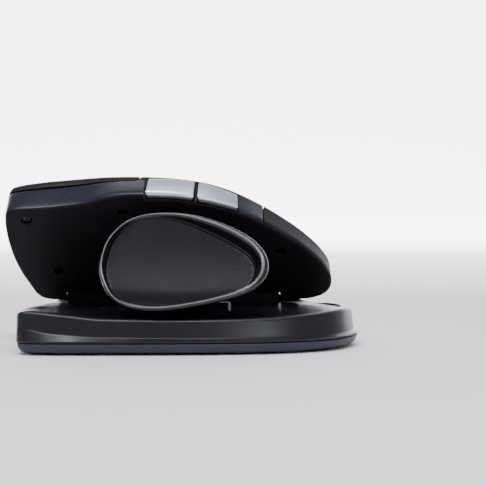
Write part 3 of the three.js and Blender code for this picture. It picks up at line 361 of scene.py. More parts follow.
SLATE = plastic("slate_plastic", (28, 27, 40), rough=0.285, grain=0.32, bump=0.08, spec=0.22)
KEYM = plastic("key_plastic", (17, 17, 22), rough=0.42, grain=0.30, bump=0.08, spec=0.22)
# the underside is the same slate plastic as the side wall, given a darker colour and less gloss here: painted shade for
# its downward-facing side
UNDERSIDE_PAINTED_SHADE = plastic("underside_plastic_painted_shade", (21, 21, 24), rough=0.6, grain=0.40, bump=0.16, spec=0.1)
PALM = plastic("palm_soft_plastic", (14, 14, 18), rough=0.62, grain=0.22, bump=0.08, spec=0.2)
BASE = plastic("base_plastic", (17, 17, 25), rough=0.34, grain=0.34, bump=0.12, spec=0.33)
COVER = plastic("base_cover_plastic", (48, 46, 60), rough=0.46, grain=0.34, bump=0.12, spec=0.3)
DARK = plastic("dark_plastic", (8, 8, 10), rough=0.5, grain=0.34, bump=0.12, spec=0.16)
RIM = plastic("rest_plastic", (8, 8, 10), rough=0.29, grain=0.30, bump=0.05, rough_var=0.03, spec=0.6)
RUBBER = plastic("pad_rubber", (9, 9, 12), rough=0.5, grain=0.18, bump=0.2, spec=0.3)
TYRE = plastic("tyre_rubber", (16, 16, 18), rough=0.7, grain=0.18, bump=0.2, spec=0.3)
SILVER = metal("silver_paint", (202, 206, 217), rough=0.34, metallic=0.8, brushed=False)
STEEL = metal("plated_steel", (176, 178, 182), rough=0.28)
BLACKSTEEL = metal("black_steel", (52, 52, 56), rough=0.24)
FOOTM = plastic("foot_sheet", (22, 22, 24), rough=0.28, grain=0.5, bump=0.03, spec=0.5)
CHIP = plastic("component_plastic", (24, 24, 26), rough=0.5, grain=0.2)
WHITEP = plastic("acetal", (214, 213, 206), rough=0.4, grain=0.3)
BOARD = board_mat("circuit_board")
CLEAR = clear_mat("clear_plastic")
CELLM = metal("cell_foil", (190, 194, 200), rough=0.4, metallic=0.9)

# ================================================================ base
BASE_OUT = [
    (-53.9, -32.5), (-52.3, -36.3), (-48, -38.3), (-40, -38.9), (-28, -39.0), (-12, -38.8), (4, -38.2), (18, -36.9), (31, -34.2),
    (42, -29.8), (51, -23.2), (57.2, -14.2), (60.4, -3.5), (60.6, 8), (57.6, 19), (51, 28.4), (42, 34.8), (30, 38.2), (14, 39.0),
    (-4, 39.0), (-22, 39.0), (-38, 38.6), (-45.6, 36.4), (-49.4, 31), (-51.4, 21), (-53.0, 8), (-54.2, -6), (-54.5, -20)]
NB = 280
base_ring = closed_spline(BASE_OUT, NB)
RIM_NEAR = [(-56, 14.3), (-50, 14.7), (-37, 13.5), (-27, 12.2), (2, 11.9), (31, 12.1), (46, 12.8), (58, 13.8), (62, 13.8)]
CREASE_NEAR = [(-56, 8.8), (-50, 8.5), (-42, 7.0), (-26, 5.9), (7, 5.5), (24, 5.8), (45, 5.6), (62, 5.6)]
def rim_z(x, y): return lerp(table(RIM_NEAR, x), 12.4, smooth(-26, 22, y) * (1 - 0.5 * smooth(40, 60, x)))
def crease_z(x, y): return lerp(table(CREASE_NEAR, x), 6.0, smooth(-20, 20, y))
def ridge(x, y): return 2.55 * smooth(31.4, 37.0, y) * smooth(50, 38, x)
def top_z(x, y):
    scoop = 1.5 * math.exp(-(((x - 2) / 25) ** 2)) * smooth(-4, -22, y)
    return lerp(rim_z(x, y) - 0.35, 12.3, smooth(-34, 0, y)) - scoop
RIMZ = np.array([rim_z(x, y) for x, y in base_ring])
CRZ = np.array([crease_z(x, y) for x, y in base_ring])
RIDGE = np.array([ridge(x, y) for x, y in base_ring])
for _ in range(4): RIMZ = relax(RIMZ, 3); CRZ = relax(CRZ, 3); RIDGE = relax(RIDGE, 3)
RIM0 = RIMZ; RIMZ = RIM0 + RIDGE
def with_z(p, z):
    return np.column_stack([p[:, :2], z * np.ones(len(p))])
UPRIGHT = np.array([lerp(0.13, 1.0, smooth(-53.4, -48.2, x)) for x in base_ring[:, 0]])
def base_shell_rings():
    R = []
    at = lambda d, z: R.append(with_z(inset(base_ring, min(d, 2.45) * UPRIGHT * (1 - 0.1 * RIDGE) + max(d - 2.45, 0)), z))
    at(2.6, SEAM_Z + 0.15)
    at(0.55, SEAM_Z + 0.15); at(0.38, SEAM_Z + 0.17); at(0.26, SEAM_Z + 0.28)
    at(0.08, SEAM_Z + 0.55); at(0.0, SEAM_Z + 0.8)
    for t in (0.25, 0.5, 0.75, 0.9): at(1.3 * t, lerp(SEAM_Z + 0.8, CRZ, t))
    at(1.3, CRZ); at(1.4, CRZ + 0.12); at(1.5, CRZ + 0.33)
    for t, d in ((0.22, 1.72), (0.36, 1.9), (0.52, 2.08), (0.68, 2.24), (0.82, 2.38)):
        at(d, lerp(CRZ, RIMZ, t))
    c = 1.35
    for a in (0, 15, 30, 45, 60, 75, 88):
        an = math.radians(a)
        at(2.45 + c * (1 - math.cos(an)), RIMZ - 0.06 - c * (1 - math.sin(an)))
    at(4.1, RIM0 + 0.82 * RIDGE - 0.05); at(4.6, RIM0 + 0.5 * RIDGE - 0.05); at(5.1, RIM0 + 0.22 * RIDGE - 0.1); at(5.6, RIM0 + 0.06 * RIDGE - 0.16)
    r62 = inset(base_ring, 6.2)
    def blend_ring(s):
        q = np.column_stack([np.clip(r62[:, 0] * 0.72, -34, 36), np.clip(r62[:, 1] * 0.1, -4, 4)])
        p = lerp(r62[:, :2], q, s)
        z = np.array([top_z(x, y) for x, y in p])
        k = math.exp(-((s / 0.05) ** 2))
        z = lerp(z, np.minimum(z, RIM0 - 0.28), k)
        R.append(np.column_stack([p, z]))
    for s in (0, 0.03, 0.07, 0.12, 0.18, 0.25, 0.33, 0.42, 0.52, 0.62, 0.72, 0.82, 0.91): blend_ring(s)
    return R
TOP_SCREWS = [(-45.2, -9.6), (-27.8, 6.0)]
CORNERS = [(-44, -29), (-42, 29.5), (36, -22), (34, 30)]
def well(x, y, z, r, depth, flare=0.45, n=40, up=1):
    """a counterbore tool with a softly flared mouth at z, opening upwards (up=1) or downwards"""
    p = [(0, -depth), (r - 0.15, -depth), (r, -depth + 0.15), (r, -flare)]
    for a in (15, 30, 45, 60, 75, 90):
        an = math.radians(a)
        p.append((r + flare * (1 - math.cos(an)), -flare + flare * math.sin(an)))
    p += [(r + flare, 3), (0, 3)]
    m = Matrix.Translation((x, y, z)) @ (Matrix.Identity(4) if up > 0 else Matrix.Rotation(math.pi, 4, "X"))
    return lathe(p, n, m)
base_shell = loft("base_shell", base_shell_rings())
inner_b = [with_z(inset(base_ring, 4.4), SEAM_Z - 2), with_z(inset(base_ring, 4.6), RIM0 - 3.0)]
r8 = inset(base_ring, 8.0)
for s in (0, 0.5, 0.88):
    q = np.column_stack([np.clip(r8[:, 0] * 0.72, -34, 36), np.clip(r8[:, 1] * 0.1, -4, 4)])
    p = lerp(r8[:, :2], q, s)
    inner_b.append(np.column_stack([p, [top_z(x, y) - WALL - 0.4 for x, y in p]]))
cut(base_shell, loft("ib", inner_b))
for x, y in TOP_SCREWS:
    join_solid(base_shell, lathe([(0, -4.2), (3.4, -4.2), (3.4, -1.6), (0, -1.6)], 32, Matrix.Translation((x, y, top_z(x, y)))))
    cut(base_shell, well(x, y, top_z(x, y) + 0.03, 2.1, 1.45, 0.3))
KN = [(-42.0, -22.4), (16.4, 34.0)]
for a, b in KN:
    g = KNUCKLE + 0.25
    cut(base_shell, prism(rounded([(a - 0.25, HINGE_Y - g), (b + 0.25, HINGE_Y - g), (b + 0.25, HINGE_Y + g), (a - 0.25, HINGE_Y + g)], 0.5), 6, 20))
place(base_shell, "base_shell_moulding", "base", ["base_top_shell"], BASE, angle=28)

SENSOR, PSW = (-8.0, 2.0), (10.0, 2.0)
FEET = {"foot_front_thumb": (-36.5, -29.5, 17, 6.5), "foot_front_far": (-34, 30, 17, 6.5), "foot_rear_thumb": (33, -24, 15, 6.5), "foot_rear_far": (30, 29, 15, 6.5)}
rings = []
for d, z in ((3.9, FLOOR_Z), (3.2, FLOOR_Z + 0.02), (2.5, FLOOR_Z + 0.14), (2.0, FLOOR_Z + 0.36), (1.55, FLOOR_Z + 0.66), (1.2, FLOOR_Z + 1.0), (0.9, FLOOR_Z + 1.38), (0.65, FLOOR_Z + 1.85), (0.45, FLOOR_Z + 2.35),
             (0.35, FLOOR_Z + 2.75), (0.33, SEAM_Z - 0.33), (0.4, SEAM_Z - 0.2), (0.55, SEAM_Z - 0.15), (2.6, SEAM_Z - 0.15)):
    rings.append(with_z(inset(base_ring, d), z))
tray = loft("tray", rings)
cut(tray, loft("ti", [with_z(inset(base_ring, 4.0), FLOOR_Z + 1.8), with_z(inset(base_ring, 2.6), SEAM_Z + 1)]))
def moved(poly, x, y): return [(p[0] + x, p[1] + y) for p in poly]
for x, y in CORNERS: join_solid(tray, lathe([(0, FLOOR_Z + 0.4), (3.1, FLOOR_Z + 0.4), (3.1, FLOOR_Z + 3.1), (0, FLOOR_Z + 3.1)], 28, Matrix.Translation((x, y, 0))))
cut(tray, prism(moved(pill(15, 9), *SENSOR), -1, 5), prism(rounded([(PSW[0] - 4.6, PSW[1] - 1.7), (PSW[0] + 4.6, PSW[1] - 1.7), (PSW[0] + 4.6, PSW[1] + 1.7), (PSW[0] - 4.6, PSW[1] + 1.7)], 0.6), -1, 5))
for x, y, l, h in FEET.values(): cut(tray, prism(moved(pill(l + 0.6, h + 0.6), x, y), -1, FLOOR_Z + 0.4))
for x, y in CORNERS: cut(tray, well(x, y, FLOOR_Z, 2.2, 1.9, 0.25, up=-1))
place(tray, "base_cover_moulding", "base", ["base_bottom_cover"], COVER, angle=28)
for k, (x, y, l, h) in FEET.items():
    f = prism(moved(pill(l, h), x, y), 0, FLOOR_Z + 0.1)
    bevel(f, 0.22, 3)
    place(f, "glide_" + k, "base", [k], FOOTM)

def cross_screw(head_r, head_h, shank_r, length, recess=0.5, n=32):
    """pan-head screw along -z, its top at z = 0, with a cross recess"""
    p = [(0, 0.0)]
    for a in (90, 75, 60, 45, 30, 15, 0):
        an = math.radians(a)
        p.append((head_r - 0.35 + 0.35 * math.cos(an), -0.35 + 0.35 * math.sin(an)))
    p += [(head_r, -head_h), (shank_r, -head_h)]
    turns = max(3, int((length - 0.5) / 0.45))
    for k in range(turns):
        z0 = -head_h - 0.2 - k * 0.45
        p += [(shank_r, z0), (shank_r + 0.14, z0 - 0.22), (shank_r, z0 - 0.4)]
    p += [(shank_r * 0.7, -head_h - length), (0, -head_h - length)]
    o = lathe(p, n)
    w, l = 0.2 * head_r / 1.7, head_r * 0.62
    for ang in (0.35, 0.35 + math.pi / 2):
        c = [(-l, -w, 0.3), (l, -w, 0.3), (l, w, 0.3), (-l, w, 0.3), (-l * 0.72, -w * 0.7, -recess), (l * 0.72, -w * 0.7, -recess), (l * 0.72, w * 0.7, -recess), (-l * 0.72, w * 0.7, -recess)]
        t = fix_normals(new_obj("x", c, [(0, 1, 2, 3), (4, 5, 6, 7), (0, 1, 5, 4), (1, 2, 6, 5), (2, 3, 7, 6), (3, 0, 4, 7)]))
        t.data.transform(Matrix.Rotation(ang, 4, "Z"))
        cut(o, t)
    return o
for i, (x, y) in enumerate(CORNERS):
    s = cross_screw(1.85, 1.1, 0.72, 4.9)
    place(s, "cover_screw_%d" % (i + 1), "base", ["base_screw_%d" % (i + 1)], STEEL, Matrix.Translation((x, y, FLOOR_Z + 0.8)) @ Matrix.Rotation(math.pi, 4, "X"))
for i, (x, y) in enumerate(TOP_SCREWS):
    s = cross_screw(1.72, 1.1, 0.68, 3.9)
    place(s, "deck_screw_%d" % (i + 1), "base", ["base_top_screw_%d" % (i + 1)], BLACKSTEEL, Matrix.Translation((x, y, top_z(x, y) - 0.25)))

# hinge brackets, caps, pin and barrel
R_X = Matrix.Rotation(math.pi / 2, 4, "Y")
AXIS_M = Matrix.Translation((0, HINGE_Y, HINGE_Z)) @ R_X
def bracket(a, b, name, node, outer_end):
    arc = [(KNUCKLE * math.cos(t), KNUCKLE * math.sin(t)) for t in np.linspace(0, math.pi, 40)]
    poly = arc + [(-KNUCKLE, 8.4 - HINGE_Z), (KNUCKLE, 8.4 - HINGE_Z)]
    m = Matrix(((0, 0, 1, a), (1, 0, 0, HINGE_Y), (0, 1, 0, HINGE_Z), (0, 0, 0, 1)))
    o = prism(poly, 0, b - a, m)
    bevel(o, 0.28, 3, 50)
    cut(o, lathe([(0, a - 1), (PIN + 0.06, a - 1), (PIN + 0.06, b + 1), (0, b + 1)], 48, AXIS_M))
    p0, p1 = (a - 0.3, a + 5.1) if outer_end < 0 else (b - 5.1, b + 0.3)
    cut(o, lathe([(0, p0), (2.15, p0), (2.15, p1), (0, p1)], 48, AXIS_M))
    place(o, name, "base", [node], DARK)
bracket(KN[0][0], KN[0][1], "hinge_knuckle_front", "hinge_bracket_front", -1)
bracket(KN[1][0], KN[1][1], "hinge_knuckle_rear", "hinge_bracket_rear", 1)
for node, x in (("hinge_cap_front", KN[0][0] + 0.5), ("hinge_cap_rear", KN[1][1] - 0.5)):
    sgn = -1 if x < 0 else 1
    p = [(0, 0.5), (1.6, 0.5), (1.82, 0.44), (1.95, 0.3), (2.0, 0.1), (2.0, -0.5), (0, -0.5)]
    o = lathe(p, 48, Matrix.Translation((x, HINGE_Y, HINGE_Z)) @ Matrix.Rotation(sgn * math.pi / 2, 4, "Y"))
    place(o, node + "_disc", "base", [node], DARK)
PX = ((KN[0][0] + KN[1][1]) / 2, (KN[1][1] - KN[0][0] - 2.4) / 2)
pin = lathe([(0, -PX[1]), (PIN - 0.15, -PX[1]), (PIN, -PX[1] + 0.15), (PIN, PX[1] - 0.15), (PIN - 0.15, PX[1]), (0, PX[1])], 40, Matrix.Translation((PX[0], HINGE_Y, HINGE_Z)) @ R_X)
place(pin, "hinge_pin_rod", "base", ["hinge_pin"], STEEL)
BARREL = (-21.9, 15.9)
FLAT_AXIS = Matrix.Translation((0, -HV, HW)) @ R_X
def along(r, a, b, n=72): return lathe([(0, a), (r, a), (r, b), (0, b)], n, FLAT_AXIS)
barrel = lathe([(0, BARREL[0]), (KNUCKLE - 0.25, BARREL[0]), (KNUCKLE, BARREL[0] + 0.25), (KNUCKLE, BARREL[1] - 0.25), (KNUCKLE - 0.25, BARREL[1]), (0, BARREL[1])], 72, FLAT_AXIS)
join_solid(barrel, vbox(-20, 14, HV, 7.4, 2.0, 3.6))
cut(barrel, along(PIN + 0.06, -40, 40, 40))
place(barrel, "hinge_barrel_moulding", "mouse_body", ["hinge_barrel"], DARK, BODY_M)

# sensor lens, power switch
lens = prism(moved(pill(14.2, 8.2), *SENSOR), FLOOR_Z + 0.5, 2.6)
bevel(lens, 0.18, 2)
join_solid(lens, lathe([(0, 2.5), (2.1, 2.5), (2.1, 5.0), (1.9, 5.1), (0, 5.1)], 32, Matrix.Translation((SENSOR[0], SENSOR[1], 0))))
cut(lens, lathe([(0, FLOOR_Z - 0.5), (1.4, FLOOR_Z - 0.5), (1.2, FLOOR_Z + 1.5), (0, FLOOR_Z + 1.5)], 32, Matrix.Translation((SENSOR[0], SENSOR[1], 0))))
place(lens, "sensor_window", "base", ["sensor_lens"], CLEAR)
knob = prism(rounded([(PSW[0] - 3, PSW[1] - 1.4), (PSW[0], PSW[1] - 1.4), (PSW[0], PSW[1] + 1.4), (PSW[0] - 3, PSW[1] + 1.4)], 0.35), 1.0, 2.6)
bevel(knob, 0.12, 2)
for k in (-0.8, 0, 0.8): cut(knob, box(PSW[0] - 1.5 + k - 0.16, PSW[1] - 1.1, 0.5, PSW[0] - 1.5 + k + 0.16, PSW[1] + 1.1, 1.25))
join_solid(knob, box(PSW[0] - 2.1, PSW[1] - 0.8, 2.5, PSW[0] - 0.9, PSW[1] + 0.8, 3.3))
place(knob, "power_slider_knob", "power_knob", ["power_slider"], SILVER)

# ================================================================ tilting body, in its flat frame
C0 = [
    (-60.0, 44.6), (-56.5, 46.5), (-48, 47.3), (-40, 48.45), (-33, 50.0), (-26.4, 52.2), (-19, 52.7), (-10, 52.3), (-2, 51.8), (6.4, 50.0),
    (13.2, 47.8), (20, 44.8), (28, 39.4), (36, 32.6), (43.5, 25), (49.5, 16.5), (52.5, 8), (51.5, 1), (46, -3), (36, -4),
    (20, -4), (0, -4), (-20, -4), (-38, -4), (-48, -3.9), (-52.5, -1.4), (-55.2, 5), (-57.9, 13), (-59.8, 22), (-60.8, 31), (-60.9, 39)]
C1 = [
    (-59.6, 43.0, 13.5), (-56.2, 45.0, 13.8), (-47.6, 46.6, 14.1), (-39.6, 47.6, 14.2), (-32.6, 48.6, 14.1), (-26, 49.6, 13.8), (-18.8, 50.4, 13.3),
    (-10, 50.8, 12.8), (-2.2, 50.4, 12.5), (6, 49.0, 12.3), (12.6, 46.8, 12.1), (19.4, 43.3, 11.9), (27.2, 37.8, 11.6), (35, 31.2, 11.2),
    (42.4, 23.8, 10.8), (48.6, 15.6, 10.4), (52, 7.6, 10.2), (51.2, 0.6, 10), (46, -3.8, 9.9), (36, -5.2, 9.9), (20, -5.4, 9.9), (0, -5.4, 10),
    (-20, -5.4, 10.2), (-37.6, -5, 10.4), (-46.4, -4.2, 10.6), (-51.4, -1.2, 10.8), (-54.4, 4.4, 11), (-57, 12.4, 11.3), (-59, 21.4, 11.6), (-60, 30.2, 12.2), (-60.3, 38, 12.9)]
FIN_X = -12.7
C0_FIN = list(C0)
C0_FIN[5], C0_FIN[6], C0_FIN[7], C0_FIN[8] = (-26.4, 52.65), (-19, 54.35), (-10, 54.5), (-2, 54.2)
NR = 384
c0, c1, c0_fin = closed_spline(C0, NR), closed_spline(C1, NR), closed_spline(C0_FIN, NR)
SPLIT_W = (0.46, 0.5)
DOME = [(-60, 13.5), (-44, 15.6), (-22, 18.3), (0, 19.8), (14, 19.8), (30, 17.4), (50, 13)]
xs = np.linspace(-60, 60, 241)
dome_s = np.array([table(DOME, x) for x in xs])
for _ in range(60): dome_s[1:-1] = 0.5 * dome_s[1:-1] + 0.25 * (dome_s[2:] + dome_s[:-2])
def body_rings(o, low=0.0, fin=False):
    R = []
    f = lambda p, w: R.append(np.column_stack([p[:, 0], -p[:, 1], w * np.ones(len(p))]))
    cb = c0_fin if fin else c0
    d0, d1 = inset(cb, o), inset(c1, o)
    r = max(EDGE_R - o, 0.3)
    if o > 0:
        f(d0, low)
    else:
        f(inset(cb, 2.6 + o), 0.0)
        cr = 1.0
        for a in (90, 70, 50, 32, 18, 8):
            an = math.radians(a)
            f(inset(cb, o + 0.094 + cr - cr * math.cos(an)), cr - cr * math.sin(an))
        # a narrow chamfer above the roll
        f(inset(cb, o + 0.084), 1.0)
        f(inset(cb, o + 0.021), 1.45)
    wm = (c1[:, 2] - EDGE_R)
    # side wall: from (c0, 0.5) through the waist to (c1, wm), as a smooth curve
    P0, W0 = d0[:, :2], np.full(NR, 0.5 if o > 0 else 1.6)
    P1 = np.column_stack([lerp(d0[:, 0], d1[:, 0], 0.45), lerp(d0[:, 1], d1[:, 1], 0.38)]); W1 = wm * 0.5
    P2, W2 = d1[:, :2], wm
    for t in (0.12, 0.25, 0.38, 0.5, 0.62, 0.75, 0.88):
        # quadratic through the three
        a_ = 2 * (t - 0.5) * (t - 1); b_ = -4 * t * (t - 1); c_ = 2 * t * (t - 0.5)
        f(a_ * P0 + b_ * P1 + c_ * P2, a_ * W0 + b_ * W1 + c_ * W2)
    f(P2, W2)
    for a in (10, 20, 30, 40, 50, 60, 66):
        an = math.radians(a)
        f(inset(c1, o + r * (1 - math.cos(an))), wm + r * math.sin(an))
    an = math.radians(66)
    e = inset(c1, o + r * (1 - math.cos(an)))
    we = wm + r * math.sin(an)
    qx = np.clip(e[:, 0] * 0.8, -42, 30)
    qv = lerp(24.0, 17.0, (qx + 42) / 72)
    top = np.interp(qx, xs, dome_s) - o
    for s in (0.03, 0.07, 0.12, 0.18, 0.25, 0.33, 0.42, 0.51, 0.6, 0.69, 0.78, 0.86, 0.93):
        p = np.column_stack([lerp(e[:, 0], qx, s), lerp(e[:, 1], qv, s)])
        f(p, lerp(we, top, 1 - (1 - s) ** 2))
    return R
def body_solid(o, low=0.0, name="b", fin=False): return loft(name, body_rings(o, low, fin))
outer = body_solid(0.0, name="outer")
cut(outer, vbox(-90, FIN_X, -20, 90, -5, 60))
fin = body_solid(0.0, fin=True)
cut(fin, vbox(FIN_X, 90, -20, 90, -5, 60))
join_solid(outer, fin)
bvh = BVHTree.FromPolygons([v.co.copy() for v in outer.data.vertices], [p.vertices[:] for p in outer.data.polygons])
shell = copy(outer, "shell")
cut(shell, body_solid(WALL, -1.0))
def channel():
    """what the shells and the underside leave free for the brackets, through the whole tilt, and for the barrel"""
    out = []
    for a, b in KN:
        out += [vbox(a - 0.4, b + 0.4, -12, 0.8, -2, HW), vbox(a - 0.4, b + 0.4, -12, HV, -2, HW + KNUCKLE + 0.4), along(KNUCKLE + 0.4, a - 0.4, b + 0.4)]
    return out + [along(KNUCKLE + 0.3, BARREL[0] - 0.4, BARREL[1] + 0.4)]
cut(shell, *channel())
cut(shell, vbox(-90, 90, -20, 90, -3, SPLIT_W[1]))

# ---- grooves along planes cut through the outer surface
def plane_curve(co, no):
    """where a plane meets the outer surface, as an ordered closed run of points"""
    bm = bmesh.new(); bm.from_mesh(outer.data)
    r = bmesh.ops.bisect_plane(bm, geom=bm.verts[:] + bm.edges[:] + bm.faces[:], dist=1e-5, plane_co=co, plane_no=no)
    es = [g for g in r["geom_cut"] if isinstance(g, bmesh.types.BMEdge)]
    nxt = {}
    for e in es:
        a, b = e.verts
        nxt.setdefault(a, []).append(b); nxt.setdefault(b, []).append(a)
    best, seen = [], set()
    for v in nxt:
        if v in seen: continue
        run, cur, prev = [v], v, None
        seen.add(v)
        while True:
            go = [w for w in nxt[cur] if w is not prev and w not in seen]
            if not go: break
            prev, cur = cur, go[0]
            seen.add(cur); run.append(cur)
        if len(run) > len(best): best = run
    pts = [v.co.copy() for v in best]
    bm.free()
    return pts
def portion(pts, keep):
    """the longest run of a closed curve whose points pass keep()"""
    ok = [keep(p) for p in pts]
    n = len(pts)
    best = []
    for s in range(n):
        if ok[s] and not ok[s - 1]:
            run, k = [], s
            while ok[k % n] and len(run) < n:
                run.append(pts[k % n]); k += 1
            if len(run) > len(best): best = run
    return best
def chain(*runs):
    """joins runs end to end, turning each to start nearest the last one's end"""
    out = list(runs[0])
    nxt_ = runs[1]
    if min((out[0] - nxt_[0]).length, (out[0] - nxt_[-1]).length) < min((out[-1] - nxt_[0]).length, (out[-1] - nxt_[-1]).length): out.reverse()
    for r in runs[1:]:
        r = list(r)
        if (out[-1] - r[-1]).length < (out[-1] - r[0]).length: r.reverse()
        out += r
    return out
def resample(pts, step, closed=True):
    P = [p for i, p in enumerate(pts) if i == 0 or (p - pts[i - 1]).length > 1e-4]
    if closed: P = P + [P[0]]
    L = [0]
    for a, b in zip(P, P[1:]): L.append(L[-1] + (b - a).length)
    n = max(4, int(L[-1] / step))
    out, j = [], 0
    for k in range(n if closed else n + 1):
        d = L[-1] * k / n
        while j < len(L) - 2 and L[j + 1] < d: j += 1
        t = (d - L[j]) / max(L[j + 1] - L[j], 1e-9)
        out.append(P[j].lerp(P[j + 1], clamp(t, 0, 1)))
    return out
def soften(pts, closed, times=8):
    """rounds the corners of a path and lays it back on the surface"""
    n = len(pts)
    for _ in range(times):
        new = []
        for i, p in enumerate(pts):
            if not closed and i in (0, n - 1): new.append(p); continue
            a, b = pts[i - 1], pts[(i + 1) % n]
            w = 0.5 if (p - a).angle(b - p, 0) > 0.12 else 0.0
            new.append(p.lerp((a + b) / 2, w))
        pts = new
    return [bvh.find_nearest(p)[0] for p in pts]
def normals(pts):
    N = [bvh.find_nearest(p)[1] for p in pts]
    for _ in range(2):
        N = [(N[i - 1] + N[i] * 2 + N[(i + 1) % len(N)]).normalized() for i in range(len(N))]
    return N
def groove(pts, half, closed=True, depth=2.35, flare=0.22, N=None):
    """a slot of half-width half along pts, sunk depth into the surface, with rounded lips. half may be a function of the point"""
    N = N or normals(pts)
    n, rings = len(pts), []
    for i, p in enumerate(pts):
        a = pts[i - 1] if (closed or i) else p
        b = pts[(i + 1) % n] if (closed or i < n - 1) else p
        T = (b - a).normalized()
        nn = (N[i] - T * N[i].dot(T)).normalized()
        B = T.cross(nn)
        h = half(p) if callable(half) else half
        prof = [(h, -depth), (h, -flare)]
        for an in (22, 45, 67, 84):
            t = math.radians(an)
            prof.append((h + flare * (1 - math.cos(t)), -flare + flare * math.sin(t)))
        prof.append((h + flare * 1.5, 0.05)); prof.append((h + flare * 1.5, 1.4))
        full = prof + [(-u, v) for u, v in reversed(prof)]
        rings.append([p + B * u + nn * v for u, v in full])
    return loft("g", [[q[:] for q in r] for r in rings], close=closed)

GN = Vector((0, 0.0385, 1)).normalized()          # the plane under the keys
GAPC = Vector((0, 0, 7.9))
step = 0.4
pl_rear = plane_curve((KEY_REAR_X, 0, 0), (1, 0, 0))
pl_gap = plane_curve(GAPC, GN)
pl_t = plane_curve((0, -SPLIT_T, 0), (0, 1, 0))
pl_p = plane_curve((0, -SPLIT_P, 0), (0, 1, 0))
pl_e = plane_curve((0, -PINKY_EDGE, 0), (0, 1, 0))
gap_w = lambda p: 7.9 - 0.0385 * p.y
above = lambda p: p.z > gap_w(p) - 1e-3
left_loop = chain(
    portion(pl_rear, lambda p: above(p) and p.y < -SPLIT_T),
    portion(pl_gap, lambda p: p.x < KEY_REAR_X and p.y < -SPLIT_T),
    portion(pl_t, lambda p: p.x < KEY_REAR_X and above(p)))
right_loop = chain(
    portion(pl_rear, lambda p: p.z > 9 and -SPLIT_P < p.y < -PINKY_EDGE),
    portion(pl_p, lambda p: p.x < KEY_REAR_X and above(p)),
    portion(pl_gap, lambda p: p.x < -30 and -SPLIT_P < p.y < -PINKY_EDGE),
    portion(pl_e, lambda p: p.x < KEY_REAR_X and above(p)))
def key_half(p):
    return 0.42 if p.z < gap_w(p) + 0.3 else 0.22
left_loop = soften(resample(left_loop, step), True, 24)
right_loop = soften(resample(right_loop, step), True)
cut(shell, groove(left_loop, key_half))
cut(shell, groove(right_loop, key_half))
# seam of the rear palm cover
pl_palm = plane_curve((PALM_X, 0, 0), (1, 0, 0))
palm_run = [bvh.find_nearest(p)[0] for p in resample(pl_palm, step)]
cut(shell, groove(palm_run, 0.16, flare=0.16))
cut(shell, vbox(PALM_X - 0.11, PALM_X + 0.11, -20, 90, -3, 60))
# side button openings
BTN_A = [(-12.3, 0.95), (4.1, 0.95), (4.5, 10.0), (-11.2, 10.2)]
BTN_B = [(5.4, 0.95), (19.2, 0.95), (19.0, 8.3), (5.8, 9.9)]
def open_end(poly): return [(p[0], -1.0) if p[1] < 1 else p for p in poly]
def grow(poly, g):
    c = np.mean(np.array(poly), axis=0)
    return [(p[0] + math.copysign(g, p[0] - c[0]), p[1] + math.copysign(g, p[1] - c[1])) for p in poly]
V_M = Matrix(((1, 0, 0, 0), (0, 0, -1, 0), (0, 1, 0, 0), (0, 0, 0, 1)))  # (x, w, v) to the flat frame
for poly in (BTN_A, BTN_B):
    cut(shell, prism(rounded(open_end(grow(poly, 0.35)), 0.6), 36, 70, V_M))
# wheel slot, mode button, light window, charging socket
def slot_cut(x0, x1, v0, v1, r):
    cut(shell, prism([(p[0], -p[1]) for p in rounded([(x0, v0), (x1, v0), (x1, v1), (x0, v1)], r, 8)], 8, 30))
slot_cut(WHEEL[0] - 9.4, WHEEL[0] + 9.4, WHEEL[1] - 3.9, WHEEL[1] + 3.9, 1.2)
MODE = (-24.5, -17.5, 24.4, 29.2)
LED = (-13.2, -10.6, 25.8, 27.8)
slot_cut(MODE[0] - 0.25, MODE[1] + 0.25, MODE[2] - 0.25, MODE[3] + 0.25, 1.0)
slot_cut(LED[0] - 0.2, LED[1] + 0.2, LED[2] - 0.2, LED[3] + 0.2, 0.8)
X_M = Matrix(((0, 0, 1, 0), (-1, 0, 0, 0), (0, 1, 0, 0), (0, 0, 0, 1)))  # (v, w, x) to the flat frame
USB = (26.8, 5.0, 4.6, 1.7)
cut(shell, prism(rounded([(USB[0] - 5, USB[1] - 2), (USB[0] + 5, USB[1] - 2), (USB[0] + 5, USB[1] + 2), (USB[0] - 5, USB[1] + 2)], 1.95, 8), -70, -50, X_M))
found = parts_of(shell)
info = sorted(((o, *centre(o)) for o in found), key=lambda r: -float(np.prod(r[2])))
print("shell parts", [(len(o.data.vertices), [round(float(x), 1) for x in c], [round(float(x), 1) for x in s]) for o, c, s in info])
pieces = {}
for o, c, s in info:
    if c[0] > PALM_X and "rear_palm_cover" not in pieces: pieces["rear_palm_cover"] = o
    elif s[0] > 60 and "front_shell" not in pieces: pieces["front_shell"] = o
    elif c[0] < -20 and c[1] < -SPLIT_T and s[0] > 35 and "left_key" not in pieces: pieces["left_key"] = o
    elif c[0] < -20 and -SPLIT_P < c[1] < 0 and s[0] > 35 and "right_key" not in pieces: pieces["right_key"] = o
    else: kill(o)
# a tongue on the front shell backs the seam
def band(o0, o1, x0, x1, w0):
    t = body_solid(o0, -1.0)
    cut(t, body_solid(o1, -2.0))
    boolean(t, vbox(x0, x1, -20, 90, w0, 60), "INTERSECT")
    cut(t, *channel())
    return t
join_solid(pieces["front_shell"], band(0.85, WALL + 0.7, PALM_X - 1.6, PALM_X + 1.2, 2.4))
cut(pieces["rear_palm_cover"], band(0.72, WALL + 1.2, PALM_X - 0.5, PALM_X + 1.4, 2.2))
